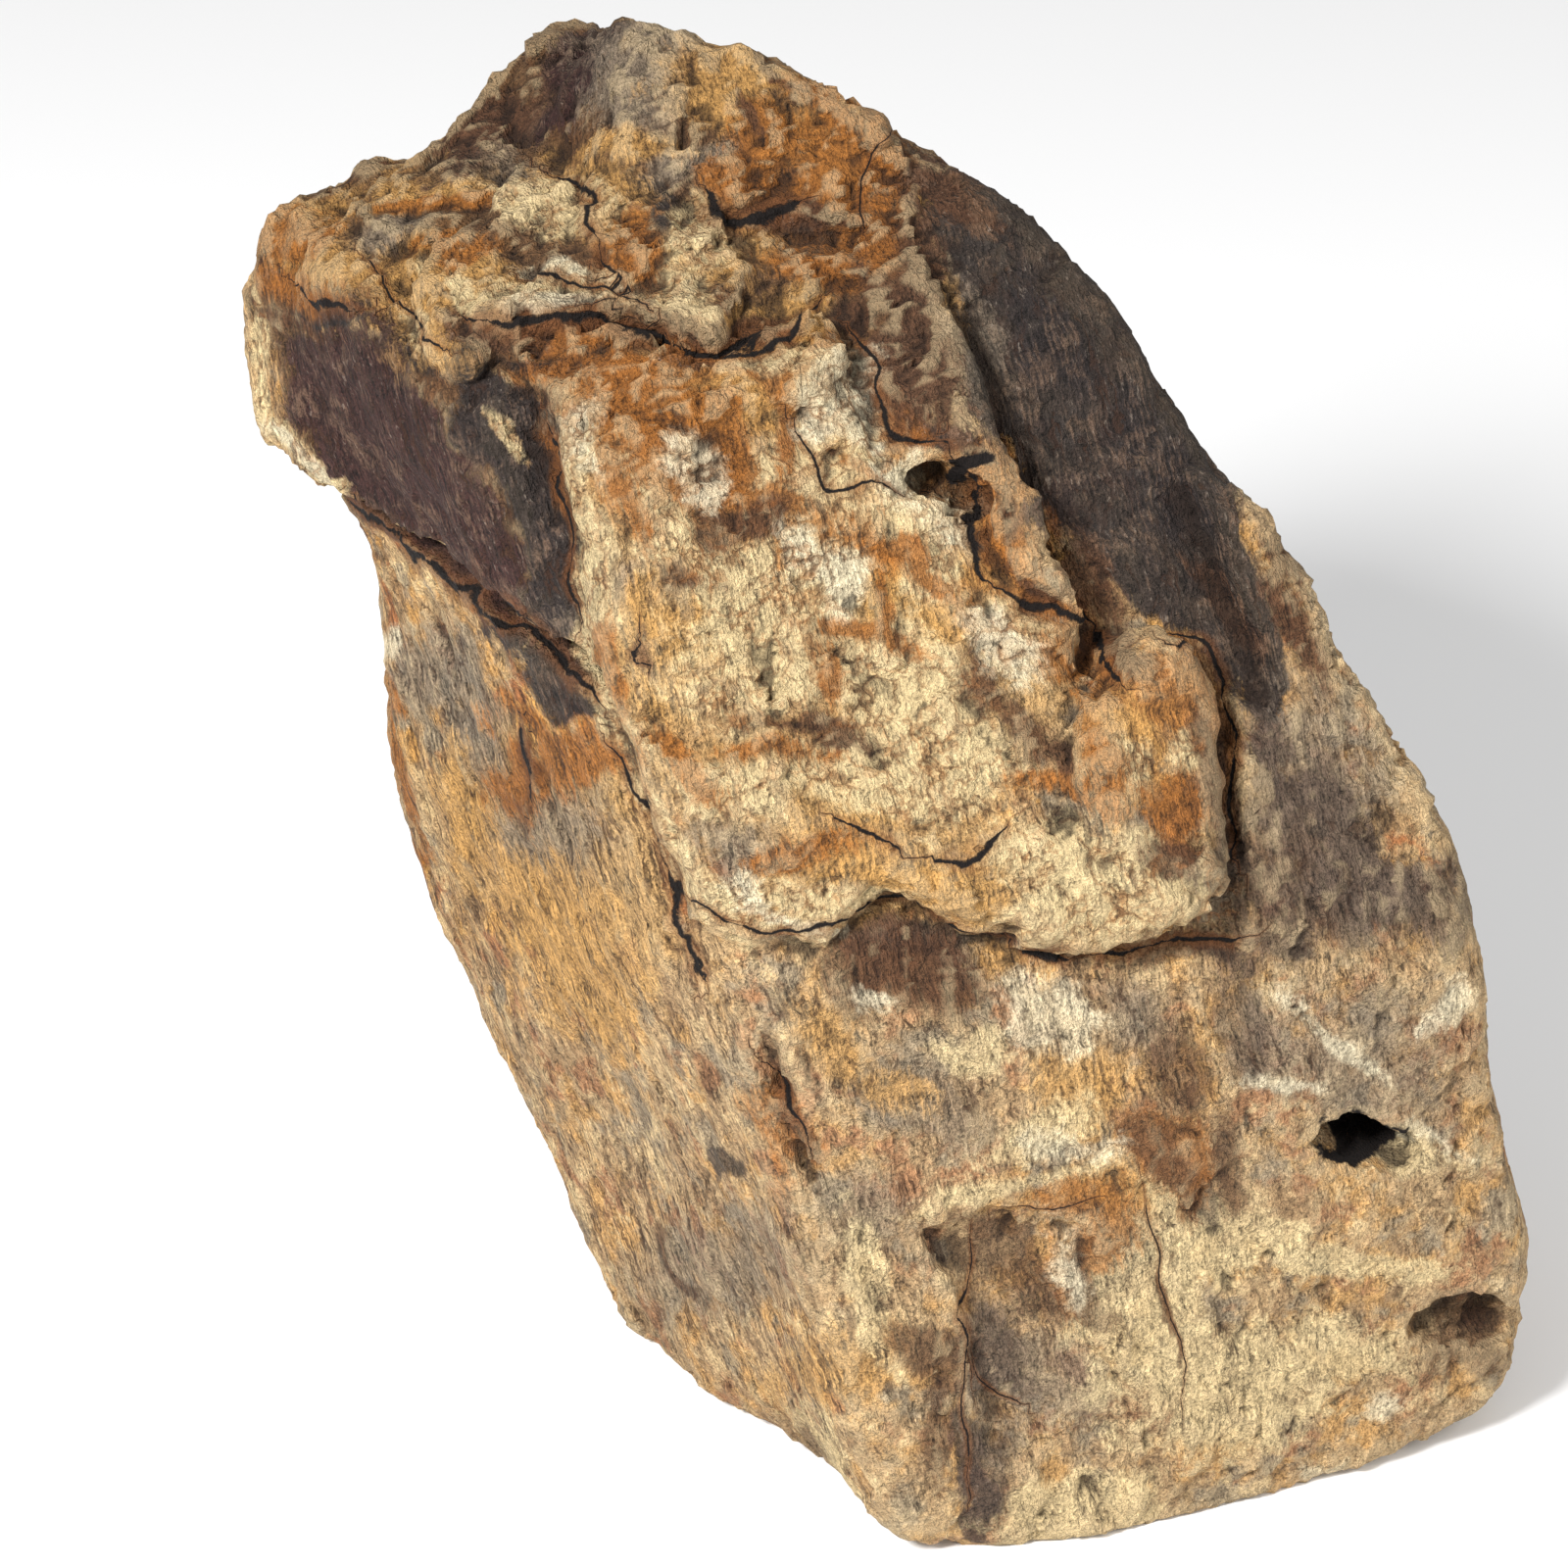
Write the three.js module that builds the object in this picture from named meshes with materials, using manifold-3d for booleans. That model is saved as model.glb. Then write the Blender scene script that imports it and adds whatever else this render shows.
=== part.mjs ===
// A rough block of iron-stained foliated stone, about 26 cm high, as one closed solid.
// Millimetres. +X to the right, +Y away from the viewer, +Z up; the stone rests on Z = 0.
//
// The stone is described the way a geologist maps it: blocks bounded by fracture faces,
// thin plates that stand proud of them, and cracks and hollows cut into them.
// A face is written as a heading and a dip. Heading 0 looks at the viewer, 90 looks to the
// right, 180 to the back. Dip 0 is level and looks up, 90 is upright, more than 90 overhangs.
import * as THREE from 'three';
import { mergeVertices } from 'three/addons/utils/BufferGeometryUtils.js';
import Module from 'manifold-3d';

const wasm = await Module();
wasm.setup();

// Driving dimensions
const BODY_CELL = 13;
const BLOCK_CELL = 12;
const PLATE_CELL = 12;
const CRACK_CELL = 9;
const EDGE_SHARPNESS = 30;
const RIM_SHARPNESS = 5;
const SWELL_HEIGHT = 3.4;
const SWELL_LENGTH = 52;
const LUMP_HEIGHT = 1.9;
const LUMP_LENGTH = 23;
const RIB_HEIGHT = 0.8;
const RIB_WIDTH = 13;
const RIB_LENGTH = 80;
const RIB_DIRECTION = new THREE.Vector3(0.24, -0.4, -0.88).normalize();
const FLOOR_LEVEL = 0;

// Blocks: the centre, the size of the starting box, and the faces as [heading, dip, reach],
// where the reach is the distance from the centre to the face.
const BODY = {
  centre: [0, 0, 115],
  size: [250, 190, 262],
  cell: BODY_CELL,
  faces: [
    [0, 180, 117.4], [12, 58, 64], [8, 79, 71], [-28, 79, 77], [-55, 98, 67], [22, 85, 88],
    [137, 43, 122], [113, 64, 92], [99, 79, 109], [93, 86, 127], [76, 107, 168],
    [-88, 100, 97], [-79, 116, 97], [-48, 141, 123], [176, 84, 90], [-135, 82, 120],
    [140, 80, 98], [-20, 25, 121], [178, 159, 127], [82, 164, 146],
  ],
};
const CAP = {
  centre: [-88, 30, 200],
  size: [80, 140, 84],
  cell: BLOCK_CELL,
  faces: [
    [-45, 78, 24], [-25, 22, 37], [-91, 89, 45], [-85, 103, 39], [-61, 128, 31],
    [-79, 165, 21], [172, 100, 54], [90, 90, 38], [-101, 68, 47], [-118, 48, 51],
    [-169, 28, 52], [-140, 82, 38],
  ],
};
const PEAK = {
  centre: [-30, 55, 245],
  size: [110, 110, 64],
  cell: BLOCK_CELL,
  faces: [
    [4, 42, 36], [-62, 62, 40], [-170, 31, 26], [146, 37, 17], [131, 44, 16], [144, 38, 14],
    [-115, 52, 34], [-125, 44, 33], [100, 76, 29], [178, 72, 15], [140, 66, 32],
    [-150, 70, 44], [0, 180, 30],
  ],
};

// Plates: the middle of the outer face, how it lies, its outline in that face
// (first number to the right, second up the slope) and how thick it is.
const PLATES = [
  {
    name: 'pale slab', centre: [-4, -50, 183], heading: 11, dip: 58, thick: 30,
    outline: [
      [-54, 53], [-48, 56], [-37, 57], [-22, 60], [-9, 64], [1, 64], [4, 59], [9, 45],
      [13, 35], [26, 30], [29, 19], [32, 12], [45, 5], [43, -6], [46, -25], [69, -45],
      [61, -55], [42, -59], [17, -53], [2, -41], [-20, -34], [-37, -26], [-43, -14],
      [-47, -4], [-49, 8], [-51, 27], [-53, 42],
    ],
  },
  {
    name: 'swollen lower lip', centre: [34, -67, 144], heading: 10, dip: 72, thick: 26,
    outline: [
      [-34, 14], [-23, 10], [-10, 11], [4, 12], [23, 8], [35, 1], [35, -4], [27, -10],
      [20, -14], [9, -14], [-5, -11], [-16, -8], [-29, -1], [-37, 6],
    ],
  },
  {
    name: 'left shoulder', centre: [-25, -70, 153], heading: 5, dip: 77, thick: 26,
    outline: [
      [-23, 25], [-14, 21], [2, 16], [24, 7], [26, -8], [15, -19], [-1, -21], [-11, -13],
      [-18, 2],
    ],
  },
  {
    name: 'fibrous ridge', centre: [-51, -46, 187], heading: -30, dip: 70, thick: 24,
    outline: [
      [-23, 41], [-16, 43], [-13, 30], [-6, 16], [-1, -2], [7, -16], [17, -31], [24, -43],
      [21, -43], [11, -26], [3, -16], [-5, -1], [-14, 18],
    ],
  },
  {
    name: 'rusty terrace', centre: [-38, -22, 233], heading: -4, dip: 38, thick: 22,
    outline: [
      [-28, -7], [-34, 3], [-27, 7], [-12, 8], [0, 4], [8, 4], [18, 12], [26, 16],
      [32, 5], [28, -5], [1, -12], [-18, -14],
    ],
  },
  {
    name: 'upper shelf', centre: [-59, -1, 247], heading: -8, dip: 29, thick: 26,
    outline: [
      [-33, -6], [-30, 4], [-17, 20], [-2, 23], [15, 27], [28, 13], [35, 4], [31, -10],
      [34, -19], [28, -22], [14, -18], [-4, -17], [-15, -20], [-19, -26], [-22, -27],
      [-28, -20],
    ],
  },
  {
    name: 'right hump', centre: [53, -55, 162], heading: 30, dip: 66, thick: 30,
    outline: [
      [-10, 19], [-3, 18], [0, 24], [10, 26], [16, 20], [18, 11], [16, -4], [14, -22],
      [-2, -27], [-17, -13], [-17, 2],
    ],
  },
  {
    name: 'sliver', centre: [25, -31, 205], heading: 18, dip: 60, thick: 20,
    outline: [
      [-11, 14], [-10, 18], [-6, 20], [-1, 16], [3, 9], [7, 2], [5, -7], [9, -14],
      [12, -21], [7, -18], [-2, -14], [-5, -1], [-6, 6],
    ],
  },
  {
    name: 'dark flake', centre: [40, -21, 189], heading: 25, dip: 62, thick: 16,
    outline: [[-5, 11], [-1, 13], [3, 11], [7, 0], [4, -13], [-2, -11], [-6, -1]],
  },
  {
    name: 'right rim', centre: [91, -35, 153], heading: 24, dip: 62, thick: 26,
    outline: [
      [-18, 62], [-12, 60], [-7, 55], [0, 41], [3, 26], [9, 11], [16, -4], [20, -23],
      [18, -38], [-7, -40], [-27, -34], [-26, -15], [-22, 8], [-22, 19], [-13, 14],
      [-12, 28], [-16, 40],
    ],
  },
  {
    name: 'slab on the back', centre: [-10, 98, 120], heading: 171, dip: 87, thick: 30,
    outline: [
      [-66, -30], [-30, -52], [14, -46], [52, -58], [66, -10], [50, 30], [10, 38],
      [-20, 58], [-56, 44], [-76, 6],
    ],
  },
];

// Hollows: as the plates, but the face is the floor of the hollow and looks into the stone.
const HOLLOWS = [
  {
    name: 'spall scar', centre: [29, -80.5, 50], heading: 190, dip: 102, thick: 40,
    outline: [
      [24, 26], [9, 28], [-7, 26], [-20, 27], [-17, 10], [-13, -13], [-12, -34], [2, -37],
      [12, -30], [13, -11], [15, 10],
    ],
  },
  {
    name: 'scar on the right', centre: [113, 20, 88], heading: -101, dip: 95, thick: 60,
    outline: [[-34, -44], [4, -52], [32, -30], [38, 10], [16, 44], [-20, 34], [-40, 2]],
  },
];

// Cracks and pits: a path along the mouth, the direction into the stone,
// and half the width and the depth at the widest point.
const CRACKS = [
  {
    name: 'crack under the cap', wide: 3.2, deep: 24, into: [0.62, 0.76, 0.2],
    path: [[-117, 22, 187], [-109, 15, 185], [-98, 2, 183], [-83, -14, 183], [-75, -23, 184],
      [-68, -31, 182], [-57, -44, 178], [-49, -55, 171]],
  },
  {
    name: 'crack beside the sliver', wide: 1.1, deep: 12, into: [-0.1, 0.55, -0.83],
    path: [[13, -27, 213], [18, -29, 210], [20, -33, 203], [23, -38, 195], [30, -39, 192],
      [38, -40, 186]],
  },
  {
    name: 'pit above the sliver', wide: 3.6, deep: 9, into: [-0.15, 0.8, -0.58],
    path: [[4, -26, 211], [12, -26, 210], [22, -27, 205]],
  },
  {
    name: 'crack under the lip', wide: 1.4, deep: 11, into: [0, 0.9, 0.42],
    path: [[-6, -72, 144], [4, -72, 140], [18, -71, 135], [39, -69, 131], [55, -66, 131],
      [74, -60, 134]],
  },
  {
    name: 'crevice behind the terrace', wide: 2.6, deep: 10, into: [0, 0.35, -0.93],
    path: [[-82, -14, 238], [-65, -13, 240], [-50, -14, 241], [-38, -19, 239], [-34, -22, 238],
      [-26, -18, 240], [-12, -10, 244]],
  },
  {
    name: 'crack across the shelf', wide: 0.9, deep: 8, into: [0.1, 0.3, -0.94],
    path: [[-66, 18, 260], [-59, 8, 255], [-53, -1, 251], [-49, -19, 242]],
  },
  {
    name: 'fold below the peak', wide: 3.4, deep: 6, into: [0, 0.85, -0.5],
    path: [[-36, 11, 254], [-19, 7, 250], [-8, 6, 248], [5, 10, 250]],
  },
  {
    name: 'hole low on the right', wide: 4.6, deep: 26, into: [-0.3, 0.94, 0.12],
    path: [[84, -62, 82], [90, -60, 82], [97, -58, 79], [103, -56, 76], [109, -54, 73]],
  },
  {
    name: 'fibrous pocket', wide: 6.5, deep: 9, into: [-0.5, 0.85, 0.1],
    path: [[108, -62, 34], [116, -58, 34], [124, -54, 31], [133, -46, 26]],
  },
  {
    name: 'upper pit on the ridge', wide: 2.6, deep: 7, into: [0.5, 0.86, 0],
    path: [[-29, -77, 120], [-24, -78, 110], [-20, -79, 100]],
  },
  {
    name: 'lower pit on the ridge', wide: 2.4, deep: 7, into: [0.5, 0.86, 0],
    path: [[-22, -79, 100], [-17, -80, 91], [-12, -81, 82]],
  },
  {
    name: 'crack in the slab face', wide: 0.9, deep: 6, into: [0, 0.8, -0.6],
    path: [[-2, -66, 158], [11, -67, 153], [18, -66, 153], [28, -63, 155]],
  },
];

// The outward direction of a face.
function outward(heading, dip) {
  const h = THREE.MathUtils.degToRad(heading);
  const d = THREE.MathUtils.degToRad(dip);
  return new THREE.Vector3(
    Math.sin(d) * Math.sin(h),
    -Math.sin(d) * Math.cos(h),
    Math.cos(d),
  );
}

// A repeatable number from 0 to 1 for every whole-number point in space.
function scatter(i, j, k) {
  const s = Math.sin(i * 127.1 + j * 311.7 + k * 74.7) * 43758.5453;
  return s - Math.floor(s);
}

// Smooth noise from -1 to 1: the scattered numbers blended between the whole-number points.
function noise(x, y, z) {
  const i = Math.floor(x);
  const j = Math.floor(y);
  const k = Math.floor(z);
  const ease = (t) => t * t * (3 - 2 * t);
  const u = ease(x - i);
  const v = ease(y - j);
  const w = ease(z - k);
  const mix = THREE.MathUtils.lerp;
  const row = (b, c) => mix(scatter(i, b, c), scatter(i + 1, b, c), u);
  const layer = (c) => mix(row(j, c), row(j + 1, c), v);
  return 2 * mix(layer(k), layer(k + 1), w) - 1;
}

// Two directions across the ribs, so that the rib noise can be drawn out along them.
const ACROSS = new THREE.Vector3(1, 0, 0).cross(RIB_DIRECTION).normalize();
const THROUGH = new THREE.Vector3().crossVectors(RIB_DIRECTION, ACROSS);

// How far the surface stands out or in at a point: broad swells, lumps, and ribs that run
// along the grain of the stone.
function relief(p) {
  const swell = SWELL_HEIGHT * noise(p.x / SWELL_LENGTH + 3, p.y / SWELL_LENGTH, p.z / SWELL_LENGTH);
  const lump = LUMP_HEIGHT * noise(p.x / LUMP_LENGTH, p.y / LUMP_LENGTH + 7, p.z / LUMP_LENGTH);
  const along = p.dot(RIB_DIRECTION) / RIB_LENGTH;
  const ribs = RIB_HEIGHT * noise(along, p.dot(ACROSS) / RIB_WIDTH, p.dot(THROUGH) / RIB_WIDTH);
  return swell + lump + ribs;
}

// Lays the fold of every four-sided cell on whichever diagonal stands out further, so that
// the edges of the stone are not notched. The cells are pairs of triangles a b d and b c d.
function foldOutward(geometry) {
  const at = geometry.attributes.position;
  const index = geometry.index;
  const [a, b, c, d] = [0, 1, 2, 3].map(() => new THREE.Vector3());
  for (let t = 0; t < index.count; t += 6) {
    const corner = [index.getX(t), index.getX(t + 1), index.getX(t + 4), index.getX(t + 2)];
    [a, b, c, d].forEach((v, k) => v.fromBufferAttribute(at, corner[k]));
    const lift = c.sub(a).dot(b.sub(a).cross(d.sub(a)));
    if (lift > 0) {
      const [i, j, k, m] = corner;
      [i, j, k, i, k, m].forEach((value, n) => index.setX(t + n, value));
    }
  }
}

// Turns a closed surface into a solid, with its faces looking out.
function solid(geometry) {
  geometry.deleteAttribute('normal');
  geometry.deleteAttribute('uv');
  const merged = mergeVertices(geometry, 1e-4);
  const at = merged.attributes.position;
  const corners = Array.from(merged.index.array);
  const a = new THREE.Vector3();
  const b = new THREE.Vector3();
  const c = new THREE.Vector3();
  let volume = 0;
  for (let t = 0; t < corners.length; t += 3) {
    a.fromBufferAttribute(at, corners[t]);
    b.fromBufferAttribute(at, corners[t + 1]);
    c.fromBufferAttribute(at, corners[t + 2]);
    volume += a.dot(b.cross(c));
  }
  const triangles = new Uint32Array(corners);
  if (volume < 0) {
    for (let t = 0; t < triangles.length; t += 3) {
      triangles[t + 1] = corners[t + 2];
      triangles[t + 2] = corners[t + 1];
    }
  }
  return new wasm.Manifold(new wasm.Mesh({
    numProp: 3,
    vertProperties: new Float32Array(at.array),
    triVerts: triangles,
  }));
}

// A block bounded by fracture faces. A box is pushed out from its centre until it meets the
// faces: along a direction d the distance r follows 1 / r = (sum (n.d / reach)^k)^(1 / k),
// which is the distance to the nearest face with the edges a little rounded.
function block({ centre, size, cell, faces }) {
  const [w, d, h] = size;
  const cells = size.map((s) => Math.round(s / cell));
  const geometry = new THREE.BoxGeometry(w, d, h, ...cells);
  const middle = new THREE.Vector3(...centre);
  const sides = faces.map(([heading, dip, reach]) => ({ n: outward(heading, dip), reach }));
  const at = geometry.attributes.position;
  const p = new THREE.Vector3();
  const out = new THREE.Vector3();
  for (let i = 0; i < at.count; i += 1) {
    p.fromBufferAttribute(at, i).normalize();
    out.set(0, 0, 0);
    let sum = 0;
    for (const side of sides) {
      const share = Math.max(0, side.n.dot(p)) / side.reach * 100;
      sum += share ** EDGE_SHARPNESS;
      out.addScaledVector(side.n, share ** (EDGE_SHARPNESS - 1) / side.reach);
    }
    p.multiplyScalar(100 * sum ** (-1 / EDGE_SHARPNESS)).add(middle);
    p.addScaledVector(out.normalize(), relief(p));
    p.z = Math.max(p.z, FLOOR_LEVEL);
    at.setXYZ(i, p.x, p.y, p.z);
  }
  foldOutward(geometry);
  return solid(geometry);
}

// A closed surface from a rule that gives the point at station i of ring j.
function closedSurface(around, rings, pointAt) {
  const geometry = new THREE.SphereGeometry(1, around, rings);
  const at = geometry.attributes.position;
  for (let n = 0; n < at.count; n += 1) {
    const j = Math.floor(n / (around + 1));
    const i = (n % (around + 1)) % around;
    const p = pointAt(i, j);
    at.setXYZ(n, p.x, p.y, p.z);
  }
  return solid(geometry);
}

// A plate with a broken outline. The rings run from the middle of the outer face over the
// rim to the middle of the inner face; each is the outline, made smaller by x, at height z,
// where (x, z) follows the rounded rectangle |x|^m + |z|^m = 1.
function plate({ centre, heading, dip, outline, thick }) {
  const n = outward(heading, dip);
  const h = THREE.MathUtils.degToRad(heading);
  const right = new THREE.Vector3(Math.cos(h), Math.sin(h), 0);
  const up = new THREE.Vector3().crossVectors(n, right);
  const stations = [];
  outline.forEach(([x, y], k) => {
    const [nextX, nextY] = outline[(k + 1) % outline.length];
    const steps = Math.max(1, Math.round(Math.hypot(nextX - x, nextY - y) / PLATE_CELL));
    for (let s = 0; s < steps; s += 1) {
      const t = s / steps;
      stations.push([x + (nextX - x) * t, y + (nextY - y) * t]);
    }
  });
  const reach = Math.max(...outline.map(([x, y]) => Math.hypot(x, y)));
  const faceRings = Math.max(2, Math.round(reach / PLATE_CELL));
  const rimRings = 2;
  const section = [];
  for (let j = 0; j <= faceRings; j += 1) section.push([j / faceRings, 1]);
  for (let j = 1; j <= rimRings; j += 1) section.push([1, 1 - 2 * j / rimRings]);
  section.push([0, -1]);
  const middle = new THREE.Vector3(...centre);
  return closedSurface(stations.length, section.length - 1, (i, j) => {
    const [x, z] = section[j];
    const [a, b] = stations[i];
    const s = (Math.abs(x) ** RIM_SHARPNESS + Math.abs(z) ** RIM_SHARPNESS) ** (-1 / RIM_SHARPNESS);
    const p = middle.clone();
    p.addScaledVector(right, a * x * s);
    p.addScaledVector(up, b * x * s);
    p.addScaledVector(n, thick / 2 * (z * s - 1));
    return p.addScaledVector(n, relief(p));
  });
}

// A crack: a flat ellipse carried along the path of its mouth, pinching out at both ends.
// With t from 0 to 1 along the path its size follows sqrt(sin(pi t)).
function crack({ path, into, wide, deep }) {
  const line = new THREE.CatmullRomCurve3(path.map((q) => new THREE.Vector3(...q)));
  const inward = new THREE.Vector3(...into).normalize();
  const rings = Math.max(6, Math.round(line.getLength() / CRACK_CELL));
  const around = 8;
  return closedSurface(around, rings, (i, j) => {
    const t = j / rings;
    const p = line.getPointAt(t);
    const side = line.getTangentAt(t).cross(inward).normalize();
    const size = Math.sqrt(Math.max(0, Math.sin(Math.PI * t)));
    const angle = 2 * Math.PI * i / around;
    p.addScaledVector(side, wide * size * Math.cos(angle));
    return p.addScaledVector(inward, deep * size * Math.sin(angle));
  });
}

let stone = block(BODY);
for (const shape of [CAP, PEAK]) stone = stone.add(block(shape));
for (const shape of PLATES) stone = stone.add(plate(shape));
for (const shape of HOLLOWS) stone = stone.subtract(plate(shape));
for (const shape of CRACKS) stone = stone.subtract(crack(shape));

// Only the main piece is kept, without the crumbs that the cuts leave.
const pieces = stone.decompose().sort((a, b) => b.volume() - a.volume());
const result = pieces[0].getMesh();

const geometry = new THREE.BufferGeometry();
geometry.setAttribute('position', new THREE.BufferAttribute(result.vertProperties, result.numProp));
geometry.setIndex(new THREE.BufferAttribute(result.triVerts, 1));

// The stone was laid out round the middle of its body; its frame is the middle of its box.
geometry.computeBoundingBox();
const middle = geometry.boundingBox.getCenter(new THREE.Vector3());
geometry.translate(-middle.x, -middle.y, -geometry.boundingBox.min.z);
geometry.computeVertexNormals();

const material = new THREE.MeshStandardMaterial({ color: 0xb08a58, roughness: 0.88, metalness: 0 });
const mesh = new THREE.Mesh(geometry, material);
mesh.name = 'stone';
const part = new THREE.Group();
part.name = 'rough_jasper_block';
part.add(mesh);
export default part;
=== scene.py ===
"""The rough jasper block, dressed: one stone, its floor, its light and its camera.

The stone is worked out in millimetres round the middle of its body, with +X to the right,
+Y away from the viewer and +Z up, and goes into the frame in metres at the very end.
Faces are written as a heading and a dip. Heading 0 looks at the viewer, 90 to the right,
180 to the back. Dip 0 is level and looks up, 90 is upright, more than 90 overhangs.
"""

import bpy
import numpy as np
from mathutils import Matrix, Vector


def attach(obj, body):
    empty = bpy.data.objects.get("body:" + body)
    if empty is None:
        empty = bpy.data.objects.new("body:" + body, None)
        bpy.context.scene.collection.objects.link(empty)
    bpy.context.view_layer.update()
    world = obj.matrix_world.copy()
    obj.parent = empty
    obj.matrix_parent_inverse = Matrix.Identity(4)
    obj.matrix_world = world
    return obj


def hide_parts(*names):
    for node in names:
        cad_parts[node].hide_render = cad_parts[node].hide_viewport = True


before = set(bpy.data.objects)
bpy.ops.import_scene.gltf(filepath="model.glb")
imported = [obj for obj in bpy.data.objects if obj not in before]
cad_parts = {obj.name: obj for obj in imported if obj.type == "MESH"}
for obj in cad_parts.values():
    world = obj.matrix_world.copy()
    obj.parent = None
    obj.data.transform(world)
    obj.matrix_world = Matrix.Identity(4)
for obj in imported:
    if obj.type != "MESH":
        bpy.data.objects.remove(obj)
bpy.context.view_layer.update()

# The middle of the stone's box, which the frame puts at X = Y = 0.
BOX_MIDDLE = np.array([1.488, 8.198, 0.0])
MM = 0.001

# How crisp the edges of the blocks and the rims of the plates are: higher is crisper.
EDGE_SHARPNESS = 30
RIM_SHARPNESS = 6

# The relief of the fracture faces, in millimetres, and the line the grain runs along.
SWELL_HEIGHT, SWELL_LENGTH = 3.4, 52.0
LUMP_HEIGHT, LUMP_LENGTH = 1.9, 23.0
RIB_HEIGHT, RIB_WIDTH, RIB_LENGTH = 0.8, 13.0, 80.0
GRAIN_LINE = np.array([0.24, -0.4, -0.88]) / np.linalg.norm([0.24, -0.4, -0.88])

# The size of the cells of each surface, and of the net drawn over all of them.
BODY_CELL = 2.45
BLOCK_CELL = 2.1
PLATE_CELL = 1.8
CRACK_CELL = 1.5
NET_CELL = 1.74

# Blocks: the centre, the corners of the starting box, the cell, and the faces as
# (heading, dip, distance from the centre). The starting boxes reach further towards the
# viewer, which gives that side of the stone the finer cells.
BODY = dict(
    centre=(0, 0, 115), low=(-140, -150, -105), high=(118, 74, 160), cell=BODY_CELL,
    faces=[
        (0, 180, 117.4), (12, 58, 64), (8, 79, 71), (-28, 79, 77), (-55, 98, 67),
        (22, 85, 88), (137, 43, 122), (113, 64, 92), (99, 79, 109), (93, 86, 127),
        (76, 107, 168), (-88, 100, 97), (-79, 116, 97), (-48, 141, 123), (176, 84, 90),
        (-135, 82, 120), (140, 80, 98), (-20, 25, 121), (178, 159, 127), (82, 164, 146),
    ])
CAP = dict(
    centre=(-88, 30, 200), low=(-50, -90, -45), high=(40, 60, 45), cell=BLOCK_CELL,
    faces=[
        (-45, 78, 24), (-25, 22, 37), (-91, 89, 45), (-85, 103, 39), (-61, 128, 31),
        (-79, 165, 21), (172, 100, 54), (90, 90, 38), (-101, 68, 47), (-118, 48, 51),
        (-169, 28, 52), (-140, 82, 38),
    ])
PEAK = dict(
    centre=(-30, 55, 245), low=(-60, -80, -35), high=(60, 50, 45), cell=BLOCK_CELL,
    faces=[
        (4, 42, 36), (-62, 62, 40), (-170, 31, 26), (146, 37, 17), (131, 44, 16),
        (144, 38, 14), (-115, 52, 34), (-125, 44, 33), (100, 76, 29), (178, 72, 15),
        (140, 66, 32), (-150, 70, 44), (0, 180, 30),
    ])

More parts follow.
